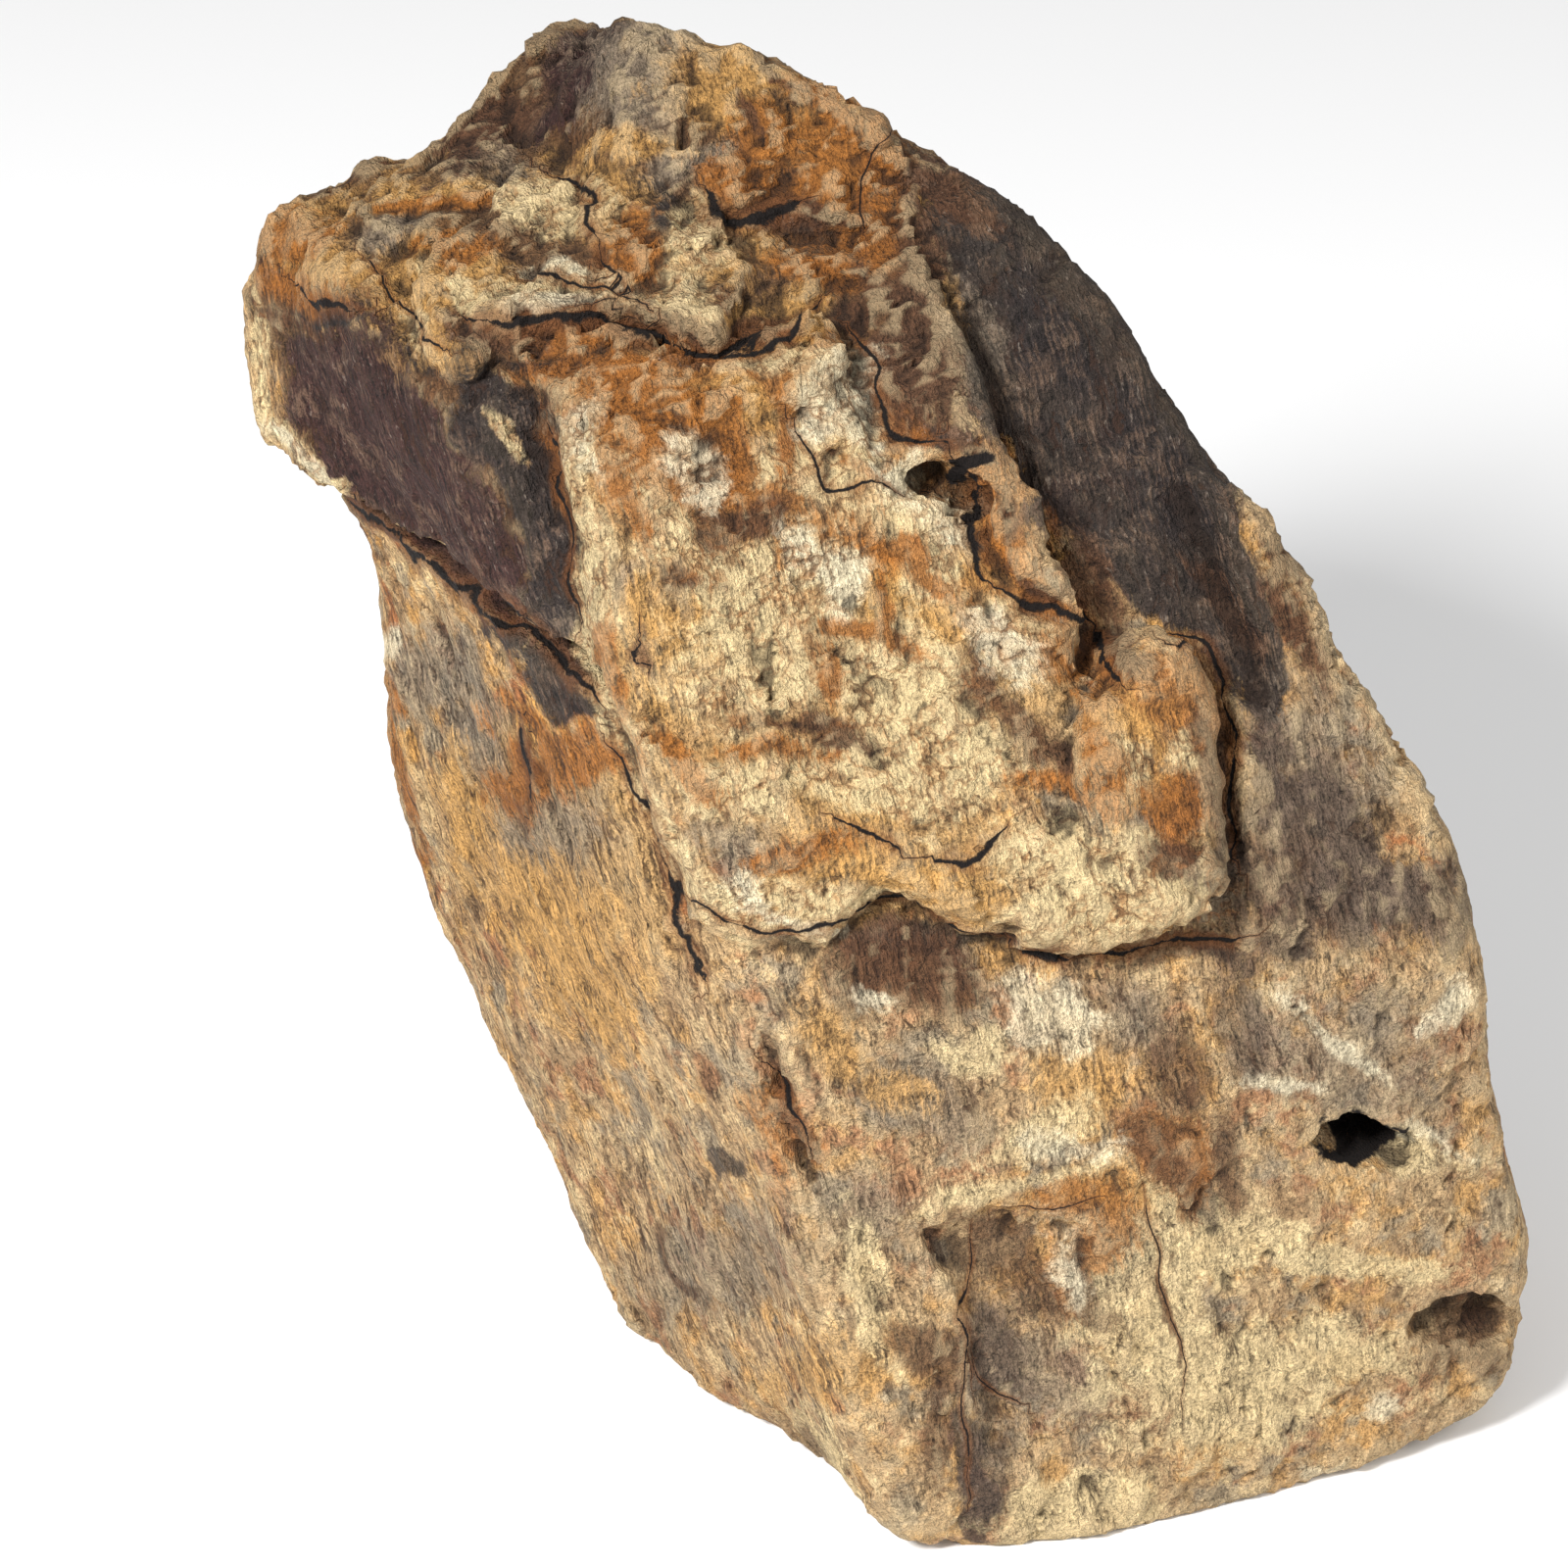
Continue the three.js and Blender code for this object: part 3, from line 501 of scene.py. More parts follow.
# Each stain is an ellipse: x, y, half length, half width, and the turn of its length from
# level, clockwise.
STAINS = {
    "ash": [
        (640, 90, 60, 40, 60), (665, 45, 45, 25, 10), (700, 175, 20, 60, 70),
        (450, 690, 60, 45, 30), (560, 850, 60, 55, 0), (750, 850, 50, 40, 30),
        (790, 865, 45, 25, 20), (930, 1110, 70, 40, 20), (870, 1240, 40, 50, 70),
        (740, 1290, 50, 90, 70), (1340, 780, 80, 60, 60), (410, 245, 45, 16, 160),
        (1160, 1040, 40, 30, 60), (1400, 1080, 100, 70, 30), (1030, 1400, 60, 50, 60),
        (640, 600, 30, 60, 70), (690, 610, 55, 25, 160), (480, 760, 60, 30, 80),
        (1130, 1290, 30, 40, 60), (960, 350, 60, 60, 60), (1390, 900, 70, 40, 20),
        (550, 180, 70, 22, 20), (1190, 820, 30, 50, 70),
    ],
    "gold": [
        (725, 95, 48, 38, 30), (640, 155, 60, 14, 5), (760, 60, 50, 18, 30),
        (600, 200, 60, 30, 10), (440, 190, 70, 25, 165), (310, 225, 50, 25, 150),
        (470, 280, 60, 30, 0), (740, 250, 40, 40, 30), (790, 330, 60, 25, 160),
        (880, 770, 70, 70, 0), (940, 810, 80, 40, 0), (720, 650, 60, 50, 0),
        (480, 830, 60, 24, 75), (560, 930, 60, 55, 60), (600, 1010, 70, 45, 40),
        (850, 1050, 70, 22, 30), (890, 1090, 60, 22, 20), (1090, 1100, 60, 40, 60),
        (1150, 760, 50, 40, 60), (1000, 560, 60, 30, 30), (850, 450, 80, 30, 20),
        (760, 420, 60, 30, 20), (1130, 1230, 50, 30, 0), (860, 1400, 30, 70, 75),
        (430, 330, 60, 40, 40), (330, 280, 60, 30, 10), (820, 150, 60, 40, 20),
        (900, 900, 120, 40, 5),
    ],
    "rust": [
        (850, 170, 95, 60, 10), (880, 240, 50, 60, 80), (840, 275, 70, 22, 5),
        (780, 150, 45, 40, 30), (760, 190, 40, 20, 10), (600, 375, 60, 22, 0),
        (655, 385, 65, 24, 0), (700, 350, 35, 18, 0), (620, 415, 50, 16, 0), (670, 430, 60, 22, 0),
        (720, 425, 45, 24, 30), (590, 340, 40, 14, 0), (640, 500, 70, 10, 75),
        (655, 460, 60, 16, 60), (760, 500, 90, 14, 10), (870, 640, 60, 9, 15),
        (885, 600, 45, 9, 85), (835, 685, 45, 18, 80), (790, 765, 65, 14, 10),
        (905, 555, 60, 12, 20), (960, 590, 60, 14, 20), (1010, 640, 60, 12, 40),
        (1085, 680, 40, 20, 70), (870, 465, 55, 7, 20), (790, 440, 12, 60, 10),
        (740, 460, 14, 40, 10), (1000, 470, 26, 20, 60), (1035, 540, 45, 18, 60),
        (1065, 600, 30, 18, 60), (1120, 790, 50, 22, 80), (1200, 820, 40, 28, 60),
        (1100, 820, 60, 14, 10), (570, 750, 70, 22, 8), (600, 780, 60, 20, 5),
        (395, 700, 60, 10, 78), (410, 790, 70, 9, 75), (432, 900, 60, 9, 80),
        (540, 800, 40, 30, 0), (290, 250, 50, 30, 150), (300, 300, 50, 20, 10),
        (1090, 1245, 60, 20, 5), (1115, 1275, 40, 22, 0), (1080, 1310, 50, 14, 60),
        (790, 1140, 60, 18, 60), (775, 1170, 50, 12, 70), (570, 480, 60, 8, 80),
        (640, 690, 60, 6, 75), (450, 210, 70, 10, 170), (470, 255, 40, 12, 160),
        (660, 250, 40, 30, 60), (700, 770, 60, 14, 40), (820, 860, 60, 14, 0),
        (930, 430, 30, 14, 60), (1180, 1170, 50, 20, 60), (840, 95, 60, 20, 35),
    ],
    "cream": [
        (262, 340, 50, 8, 80), (262, 410, 50, 8, 75), (290, 455, 30, 12, 50),
        (322, 492, 25, 9, 30), (560, 205, 55, 24, 10), (610, 280, 50, 20, 0),
        (530, 290, 40, 14, 0), (418, 345, 26, 14, 60), (730, 240, 34, 30, 30),
        (700, 290, 40, 24, 0), (600, 520, 110, 17, 77), (612, 640, 100, 16, 76),
        (640, 740, 60, 16, 70), (672, 840, 60, 12, 65), (530, 455, 26, 9, 60),
        (690, 480, 26, 38, 0), (785, 475, 45, 40, 20), (820, 470, 60, 40, 60),
        (855, 400, 45, 36, 60), (875, 440, 40, 38, 40), (905, 480, 45, 24, 20),
        (940, 535, 70, 38, 20), (830, 570, 36, 40, 0), (790, 640, 75, 60, 0),
        (760, 700, 65, 45, 0), (890, 690, 70, 60, 20), (1030, 640, 55, 36, 45),
        (970, 720, 70, 45, 45), (960, 790, 60, 45, 40), (860, 780, 50, 45, 0),
        (760, 800, 60, 28, 10), (700, 560, 60, 36, 0), (730, 610, 50, 40, 0),
        (650, 500, 60, 18, 75), (860, 905, 70, 20, 10), (790, 925, 80, 16, 15),
        (720, 900, 70, 18, 50), (1100, 890, 90, 45, 10), (1190, 905, 70, 35, 0),
        (1060, 930, 60, 24, 15), (1150, 945, 60, 20, 10), (1160, 1350, 90, 60, 80),
        (1240, 1260, 90, 26, 0), (1240, 1420, 110, 60, 0), (1060, 1150, 60, 25, 160),
        (1000, 1215, 90, 12, 165), (880, 1330, 90, 22, 70), (1380, 1290, 90, 20, 10),
        (1440, 1180, 60, 20, 20), (1100, 1540, 90, 30, 170), (1150, 770, 30, 24, 60),
        (1210, 760, 20, 24, 60), (1350, 1390, 70, 40, 0), (590, 445, 30, 24, 75),
        (1000, 1060, 40, 24, 0), (840, 1490, 60, 30, 50), (780, 365, 50, 14, 165),
        (470, 300, 30, 16, 40),
    ],
    "white": [
        (900, 1022, 30, 10, 20), (775, 905, 45, 10, 30), (820, 930, 50, 8, 15),
        (1370, 1060, 62, 9, 38), (1480, 1020, 34, 16, 120), (1460, 1170, 45, 9, 20),
        (1310, 1112, 40, 10, 0), (1410, 1440, 24, 10, 150), (1340, 1500, 30, 7, 0),
        (298, 465, 34, 7, 50), (580, 268, 40, 10, 5), (560, 300, 40, 8, 0), (390, 655, 16, 12, 60),
        (620, 280, 20, 8, 0),
    ],
    "brown": [
        (830, 745, 60, 14, 5), (700, 600, 30, 24, 20), (1010, 690, 34, 12, 55),
        (1040, 740, 40, 14, 60), (1000, 455, 26, 9, 40), (1040, 520, 30, 9, 70),
        (1068, 590, 30, 10, 60), (1068, 780, 34, 12, 60), (790, 742, 40, 12, 20),
        (845, 735, 34, 7, 5), (668, 670, 24, 8, 70), (1130, 662, 40, 20, 10),
        (935, 350, 90, 50, 65), (900, 400, 50, 26, 60), (985, 190, 60, 24, 40),
        (950, 260, 70, 20, 80), (930, 985, 80, 36, 12), (875, 1005, 50, 26, 30),
        (1200, 1100, 60, 26, 70), (1180, 1190, 60, 24, 60), (1255, 1190, 60, 16, 70),
        (960, 1380, 45, 22, 0), (960, 1450, 60, 22, 85), (535, 780, 45, 7, 82),
        (820, 1095, 40, 9, 75), (785, 1090, 50, 8, 80), (800, 1150, 40, 10, 60),
        (500, 330, 60, 12, 5), (640, 330, 90, 12, 5), (760, 340, 50, 9, 165),
        (820, 222, 80, 12, 0), (900, 300, 60, 12, 60), (1250, 620, 60, 12, 60),
        (1300, 560, 60, 20, 60), (1320, 640, 70, 20, 60), (300, 335, 60, 8, 10),
        (350, 175, 60, 12, 165), (500, 130, 60, 24, 150), (1490, 1365, 45, 26, 150),
        (1200, 870, 20, 40, 60), (1115, 590, 50, 26, 70), (870, 320, 30, 20, 50),
        (760, 120, 30, 8, 60), (1230, 780, 60, 14, 80), (780, 60, 60, 8, 35),
        (330, 190, 50, 10, 150), (700, 1290, 60, 6, 60), (860, 1350, 60, 5, 70),
        (1190, 1350, 90, 4, 75), (1060, 965, 60, 8, 12), (1210, 960, 45, 14, 150),
        (1110, 1320, 40, 14, 60), (820, 1480, 50, 16, 55),
    ],
    "maroon": [
        (370, 400, 90, 40, 65), (350, 470, 60, 32, 25), (430, 480, 100, 32, 65),
        (465, 545, 55, 30, 60), (315, 375, 30, 16, 60), (395, 350, 60, 22, 45),
        (340, 492, 50, 14, 10), (592, 70, 60, 28, 120), (575, 112, 34, 16, 130),
        (618, 40, 24, 14, 120), (395, 530, 60, 18, 40), (1080, 340, 90, 40, 60),
        (1190, 480, 90, 30, 60),
    ],
    "slate": [
        (515, 395, 50, 26, 50), (560, 470, 80, 32, 72), (582, 560, 80, 28, 78),
        (600, 650, 70, 22, 75), (500, 455, 34, 18, 60), (545, 540, 60, 26, 70),
        (520, 640, 34, 16, 50), (572, 695, 55, 20, 40), (600, 722, 40, 10, 15),
        (390, 545, 32, 12, 35), (735, 1195, 22, 13, 140), (645, 195, 42, 14, 12),
        (690, 222, 34, 14, 40), (470, 345, 34, 12, 10), (415, 362, 50, 10, 40),
        (560, 365, 24, 9, 20), (695, 368, 28, 12, 0), (285, 295, 26, 9, 60), (335, 330, 44, 8, 5),
        (1005, 225, 70, 46, 50), (1045, 300, 95, 60, 65), (1075, 390, 115, 78, 60),
        (1120, 480, 120, 70, 55), (1185, 560, 110, 45, 55), (1238, 635, 95, 38, 58),
        (1280, 695, 50, 20, 58), (960, 440, 40, 14, 0), (1000, 1470, 60, 16, 75),
        (1010, 1520, 50, 18, 70), (1000, 1560, 30, 16, 80), (820, 232, 70, 6, 0),
    ],
    # Painted shadow: the deep corner beside the sliver, painted near-black.
    "pit_shadow": [
        (985, 470, 12, 30, 60),
    ],
    # Mostly painted shade: the shadow right of and below the right hump and under the lower lip;
    # the rest a dark grey-brown stain.
    "dark_stain_and_shade": [
        (1290, 880, 75, 50, 60), (1320, 930, 70, 45, 0), (1390, 930, 80, 32, 10),
        (1470, 915, 40, 30, 60), (1260, 1060, 60, 26, 70), (1250, 900, 50, 26, 70),
        (1310, 860, 60, 20, 50), (1290, 740, 50, 20, 50), (930, 960, 60, 16, 8),
        (1240, 960, 40, 16, 70), (500, 140, 60, 20, 150), (1230, 1220, 40, 16, 70),
    ],
}

# Larger stains, as outlines on the same sheet.
AREAS = {
    "umber": [
        [(235, 320), (285, 205), (385, 155), (450, 150), (520, 85), (615, 5), (710, 5), (790, 50),
         (860, 100), (935, 120), (950, 300), (965, 440), (905, 425), (862, 345), (835, 305),
         (700, 350), (560, 385), (480, 372), (380, 345), (300, 340)],
        [(880, 930), (1010, 975), (1000, 1010), (880, 1020)],
        [(270, 335), (400, 340), (565, 385), (632, 728), (500, 622), (385, 552), (300, 500)],
        [(420, 130), (500, 60), (600, -20), (640, 10), (590, 110), (500, 160)],
    ],
    "honey": [
        [(575, 430), (640, 398), (800, 370), (862, 350), (905, 400), (940, 480), (1000, 510),
         (1060, 620), (1110, 650), (1110, 700), (1045, 770), (1040, 860), (940, 872), (860, 840),
         (720, 850), (670, 800), (645, 740), (612, 640), (590, 540)],
        [(700, 900), (860, 880), (1060, 860), (1250, 830), (1262, 925), (1160, 970), (1000, 930),
         (850, 920), (740, 930)],
        [(440, 770), (630, 760), (700, 960), (640, 1060), (560, 1010), (470, 900)],
    ],
    "amber": [
        [(560, 385), (700, 352), (835, 305), (865, 350), (915, 430), (1000, 520), (1080, 640),
         (1000, 600), (900, 580), (820, 620), (720, 640), (660, 600), (610, 480)],
        [(970, 440), (1000, 426), (1032, 444), (1062, 490), (1072, 520), (1077, 570), (1092, 600),
         (1107, 642), (1060, 624), (1030, 597), (1010, 542), (1005, 514), (985, 502), (966, 466)],
        [(1100, 650), (1210, 645), (1255, 760), (1250, 840), (1180, 840), (1100, 760)],
    ],
    "slate": [
        [(950, 160), (1010, 155), (1090, 165), (1160, 225), (1222, 310), (1265, 400), (1250, 480),
         (1268, 560), (1300, 620), (1315, 700), (1290, 722), (1245, 690), (1215, 640), (1150, 610),
         (1110, 560), (1060, 490), (1015, 440), (985, 400), (990, 300), (968, 250)],
        [(470, 375), (515, 372), (548, 400), (564, 440), (576, 500), (588, 590), (604, 650),
         (628, 722), (596, 700), (556, 655), (530, 600), (512, 540), (506, 490), (492, 440)],
    ],
    "maroon": [
        [(290, 352), (350, 342), (395, 352), (432, 400), (470, 440), (506, 520), (530, 600),
         (556, 655), (500, 612), (430, 572), (385, 542), (340, 507), (305, 480), (292, 430)],
        [(560, 130), (588, 60), (620, 25), (640, 25), (618, 80), (580, 122)],
    ],
    "white": [
        [(566, 425), (595, 413), (604, 440), (610, 468), (584, 468), (568, 446)],
        [(695, 438), (714, 450), (724, 476), (712, 508), (694, 506), (674, 480), (680, 454)],
        [(832, 370), (856, 356), (884, 372), (890, 396), (904, 430), (908, 456), (880, 444),
         (850, 442), (825, 454), (806, 442), (808, 404)],
        [(880, 465), (905, 455), (937, 465), (934, 492), (905, 500), (893, 478)],
        [(798, 540), (828, 528), (857, 547), (870, 570), (870, 602), (850, 614), (826, 592),
         (798, 582)],
        [(905, 500), (950, 503), (1002, 514), (1002, 546), (944, 540)],
        [(968, 614), (1000, 603), (1030, 622), (1048, 650), (1062, 672), (1048, 694), (1018, 670),
         (990, 640)],
        [(735, 886), (762, 874), (790, 894), (800, 914), (760, 914)],
        [(1008, 984), (1040, 982), (1060, 1008), (1112, 1012), (1114, 1062), (1060, 1072),
         (1028, 1062), (1014, 1020)],
        [(1040, 1150), (1090, 1143), (1132, 1160), (1110, 1187), (1058, 1182)],
        [(1052, 1252), (1084, 1268), (1110, 1330), (1094, 1334), (1068, 1292)],
    ],
    "gold": [
        [(880, 562), (922, 580), (950, 618), (1000, 624), (962, 650), (900, 644), (858, 642),
         (852, 600)],
        [(640, 590), (680, 560), (690, 600), (674, 650), (700, 700), (690, 760), (660, 720),
         (644, 650)],
    ],
    "ash": [
        [(1000, 1330), (1062, 1350), (1102, 1390), (1142, 1440), (1100, 1458), (1058, 1452),
         (1018, 1432), (998, 1400)],
        [(884, 1108), (950, 1118), (946, 1152), (890, 1142)],
        [(1270, 1015), (1335, 1060), (1312, 1132), (1268, 1104)],
        [(675, 605), (730, 595), (736, 622), (700, 648), (674, 638)],
    ],
    # Painted shade right of and below the right hump, and the left side of the spall scar made
    # darker.
    "dark_stain_and_shade": [
        [(1244, 870), (1288, 765), (1340, 800), (1400, 860), (1475, 895), (1480, 938), (1400, 958),
         (1330, 965), (1272, 958)],
        [(996, 1330), (1030, 1340), (1052, 1380), (1070, 1440), (1030, 1432), (1000, 1402)],
        [(998, 1448), (1034, 1458), (1040, 1496), (1036, 1552), (988, 1552), (984, 1492)],
    ],
    "rust": [
        [(1036, 1228), (1080, 1206), (1132, 1210), (1144, 1252), (1132, 1284), (1110, 1298),
         (1100, 1262), (1050, 1246)],
        [(655, 430), (700, 420), (752, 432), (750, 492), (702, 528), (662, 500), (640, 462)],
        [(1140, 1143), (1232, 1148), (1244, 1202), (1204, 1254), (1150, 1204)],
    ],
    # Painted shadow: the inside of the hole low on the right, painted near-black.
    "pit_shadow": [
        [(1340, 1160), (1352, 1142), (1388, 1132), (1415, 1142), (1440, 1166), (1446, 1182),
         (1400, 1184), (1345, 1180)],
    ],
    "brown": [
        [(692, 516), (760, 502), (792, 508), (798, 540), (762, 560), (735, 574), (700, 548)],
        [(795, 718), (832, 722), (872, 733), (884, 747), (830, 754), (800, 748)],
        [(984, 646), (1012, 664), (1042, 718), (1062, 750), (1067, 794), (1044, 782), (1018, 732),
         (988, 690)],
        [(964, 1250), (1032, 1254), (1062, 1300), (1096, 1352), (1060, 1352), (1008, 1302),
         (974, 1282)],
        [(922, 1370), (950, 1360), (987, 1370), (987, 1432), (950, 1438), (930, 1402)],
        [(1448, 1352), (1500, 1326), (1545, 1345), (1535, 1385), (1490, 1402), (1455, 1392)],
    ],
    "cream": [
        [(733, 600), (800, 580), (852, 615), (846, 650), (836, 692), (800, 702), (760, 722),
         (744, 690), (733, 650)],
        [(644, 484), (672, 498), (690, 524), (692, 552), (658, 548), (638, 520)],
        [(768, 445), (805, 438), (832, 480), (832, 503), (790, 508), (763, 496)],
        [(855, 640), (890, 650), (960, 650), (1002, 700), (1012, 750), (1042, 790), (1032, 832),
         (990, 847), (940, 852), (900, 832), (870, 802), (800, 782), (760, 770), (800, 752),
         (882, 742), (872, 700)],
        [(700, 548), (790, 548), (797, 592), (740, 612), (690, 592), (662, 560)],
        [(913, 545), (1002, 556), (992, 602), (940, 612), (903, 602)],
        [(1110, 1298), (1152, 1298), (1192, 1380), (1182, 1442), (1130, 1420), (1108, 1360)],
        [(950, 1210), (1040, 1193), (1122, 1187), (1112, 1207), (1000, 1216), (950, 1232)],
        [(1150, 1216), (1250, 1220), (1302, 1260), (1252, 1302), (1188, 1292)],
        [(1050, 868), (1110, 852), (1180, 850), (1245, 868), (1258, 915), (1190, 955), (1110, 948),
         (1060, 925)],
    ],
}

# Seams and cracks too thin to be cut, filled with near-black as painted shadow: half width in
# fifths of a millimetre, and the line on the sheet.
SEAMS = [
    (6, [(345, 510), (385, 545), (430, 575), (480, 600), (540, 637), (590, 680), (630, 725)]),
    (3, [(634, 760), (655, 830), (690, 900), (702, 960), (712, 1010)]),
    (2.4, [(562, 425), (576, 500), (586, 580), (600, 640)]),
    (6, [(480, 318), (540, 318), (600, 322), (650, 335), (700, 352), (745, 356), (800, 336),
         (830, 302)]),
    (3, [(565, 165), (585, 200), (610, 232), (640, 290)]),
    (7, [(735, 205), (760, 228), (790, 223), (815, 212)]),
    (3, [(860, 330), (890, 385), (905, 430), (935, 448), (965, 440)]),
    (2, [(800, 415), (812, 455), (830, 490), (870, 478), (905, 482), (940, 502)]),
    (6, [(968, 436), (980, 475), (1000, 510), (1012, 550), (1025, 590)]),
    (5, [(1025, 590), (1055, 607), (1080, 622), (1105, 640)]),
    (2.5, [(862, 835), (900, 858), (936, 867)]),
    (3, [(945, 868), (990, 868), (1020, 856), (1042, 842)]),
    (3, [(700, 900), (745, 932), (800, 945), (860, 926), (930, 920), (985, 942), (1035, 962)]),
    (6, [(1030, 960), (1070, 972), (1110, 974)]),
    (3, [(1110, 974), (1160, 974), (1220, 950), (1262, 928)]),
    (5, [(1108, 640), (1112, 682), (1150, 694)]),
    (3, [(1180, 640), (1216, 652), (1236, 692), (1250, 760), (1257, 830), (1266, 885)]),
    (1.5, [(976, 1260), (988, 1345), (990, 1417), (1002, 1483), (990, 1530)]),
    (1, [(1147, 1203), (1165, 1270), (1186, 1330), (1207, 1400), (1208, 1432)]),
    (3, [(528, 742), (542, 746)]),
    (4, [(530, 760), (536, 790), (544, 820)]),
    (1.2, [(1005, 1240), (1060, 1252), (1100, 1240)]),
    (1, [(998, 1384), (1020, 1405), (1050, 1440)]),
    (2, [(768, 1070), (785, 1110), (806, 1150), (812, 1176)]),
    (5, [(662, 655), (668, 682)]),
    (2, [(540, 270), (585, 284), (640, 290), (660, 310)]),
    (2, [(380, 270), (395, 310), (430, 350), (470, 360)]),
    (3, [(300, 290), (335, 318), (372, 328)]),
    (2, [(900, 130), (880, 170), (890, 230)]),
]


def on_sheet(p, normals):
    """Where points fall on the sheet, seen from the eye, and how squarely their surface
    looks at it: (x, y) = 800 + 5 (right.q, -up.q) 1200 / depth with q = p - eye, and the
    second is -n.q / |q|."""
    toward = (EYE - SHEET_MIDDLE) / EYE_WAY
    up = np.array([0, np.sin(EYE_RISE), np.cos(EYE_RISE)])
    q = p - EYE
    units = EYE_WAY / -(q @ toward) / SHEET_UNIT
    x = SHEET_CENTRE + q[:, 0] * units
    y = SHEET_CENTRE - (q @ up) * units
    facing = -np.einsum("ij,ij->i", normals, q) / np.linalg.norm(q, axis=1)
    return np.stack([x, y], -1), facing


def from_edge(sheet, outline):
    """How far points lie inside a closed outline: the least way to its sides, positive
    inside. A point is inside if a level ray to its right crosses an odd number of sides."""
    nearest = np.full(len(sheet), 1e9)
    crossings = np.zeros(len(sheet), int)
    corners = np.array(outline, float)
    for a, b in zip(corners, np.roll(corners, -1, axis=0)):
        way, step = sheet - a, b - a
        t = np.clip(way @ step / (step @ step), 0, 1)
        nearest = np.minimum(nearest, np.linalg.norm(way - t[:, None] * step, axis=1))
        spans = (a[1] > sheet[:, 1]) != (b[1] > sheet[:, 1])
        rise = step[1] if step[1] else 1e-9
        crossings += spans & (way[:, 0] < step[0] * way[:, 1] / rise)
    return np.where(crossings % 2, nearest, -nearest)


def stain(sheet, colour):
    """Strength of one colour, kept within -0.6 and 1.5 and one half on its edge: the
    largest over its ellipses of 1.5 - d, where d is 1 on the ellipse, and over its outlines
    of 0.5 + s / 28, where s is the way inside."""
    best = np.full(len(sheet), -0.6)
    for x, y, half_length, half_width, turn in STAINS.get(colour, []):
        a = np.radians(turn)
        dx, dy = sheet[:, 0] - x, sheet[:, 1] - y
        along = (dx * np.cos(a) + dy * np.sin(a)) / half_length
        over = (-dx * np.sin(a) + dy * np.cos(a)) / half_width
        best = np.maximum(best, 1.5 - np.hypot(along, over))
    for outline in AREAS.get(colour, []):
        best = np.maximum(best, 0.5 + from_edge(sheet, outline) / 28)
    return np.minimum(best, 1.5)


def seam_place(sheet):
    """Where points lie from the nearest seam: how far to its side in half widths, signed
    and within 7, and 1 near it falling to 0 from 12 to 22 sheet units. Beyond the foot t of the
    perpendicular, kept within 0 and 1 on each stretch, the way is measured to the end. The
    half width tapers to a tenth at both ends of a seam."""
    nearest = np.full(len(sheet), 1e9)
    place = np.full(len(sheet), 7.0)
    for half_width, line in SEAMS:
        line = np.array(line, float)
        run = np.concatenate([[0], np.cumsum(np.linalg.norm(np.diff(line, axis=0), axis=1))])
        for n, (a, b) in enumerate(zip(line, line[1:])):
            way, step = sheet - a, b - a
            t = np.clip(way @ step / (step @ step), 0, 1)
            off = way - t[:, None] * step
            far = np.linalg.norm(off, axis=1)
            side = np.where(step[0] * way[:, 1] - step[1] * way[:, 0] < 0, -1.0, 1.0)
            share = (run[n] + t * (run[n + 1] - run[n])) / run[-1]
            wide = half_width * np.minimum(1, 0.1 + 6 * share * (1 - share))
            closer = far < nearest
            place = np.where(closer, np.clip(side * far / wide, -7, 7), place)
            nearest = np.where(closer, far, nearest)
    return place, ease(22, 12, nearest)


def ease(low, high, value):
    """0 at low, 1 at high, t t (3 - 2 t) between."""
    t = np.clip((value - low) / (high - low), 0, 1)
    return t * t * (3 - 2 * t)


def facets(q):
    """Broken facets: space is cut into rough cells, each round a point set at random in its
    own unit cube, and every cell leans its own way. The height at q is the lean times the
    way from the nearest point, plus the cell's own level, within -1 and 1."""
    base = np.floor(q)
    near = np.full(len(q), 9.0)
    height = np.zeros(len(q))
    for di in (-1, 0, 1):
        for dj in (-1, 0, 1):
            for dk in (-1, 0, 1):
                cell = base + [di, dj, dk]
                i, j, k = cell.T
                at = np.stack([scatter(i, j, k), scatter(j, k, i), scatter(k, i, j)], -1)
                lean = np.stack([scatter(i + 9, j, k), scatter(j + 9, k, i),
                                 scatter(k + 9, i, j)], -1) - 0.5
                way = q - (cell + at)
                far = np.linalg.norm(way, axis=1)
                value = np.einsum("ij,ij->i", way, lean) * 2.2 + (scatter(i, k, j) - 0.5) * 0.8
                height = np.where(far < near, value, height)
                near = np.minimum(near, far)
    return np.clip(height, -1, 1)


def fine_relief(p, normals, sheet):
    """Height in mm added along the normals: broken facets of two sizes and stepped flakes,
    both weaker where the stone is fibrous, then lumps and ribs along the grain. All of it
    is stronger on top, and weaker low down and on the dark parting face."""
    big = facets(along_grain(p, 22.0, 12.0) + 3)
    small = facets(along_grain(p, 9.0, 5.5) + 11)
    upward = ease(0.45, 0.8, normals[:, 2]) * ease(180, 215, p[:, 2])
    dark = ease(0.3, 0.8, stain(sheet, "slate")) * ease(900, 1000, sheet[:, 0])
    level = 5.0 * (noise(p / 17.0 + 60) + 0.5 * noise(p / 8.0 + 70))
    flakes = np.floor(level) + ease(0.3, 0.7, level - np.floor(level)) - level
    broken = 1 - 0.55 * fibrous_share(normals)
    lumps = 0.45 * noise(p / 9.0) + 0.38 * noise(p / 4.2 + 4)
    ribs = noise(along_grain(p, 30.0, 3.6)) + 0.5 * noise(along_grain(p, 18.0, 2.2) + 8)
    height = broken * (1.2 * big + 0.8 * small + flakes) + lumps + 0.45 * ribs
    low = ease(130, 90, p[:, 2])
    return height * (1 + 0.3 * upward) * (1 - 0.45 * dark) * (1 - 0.25 * low)


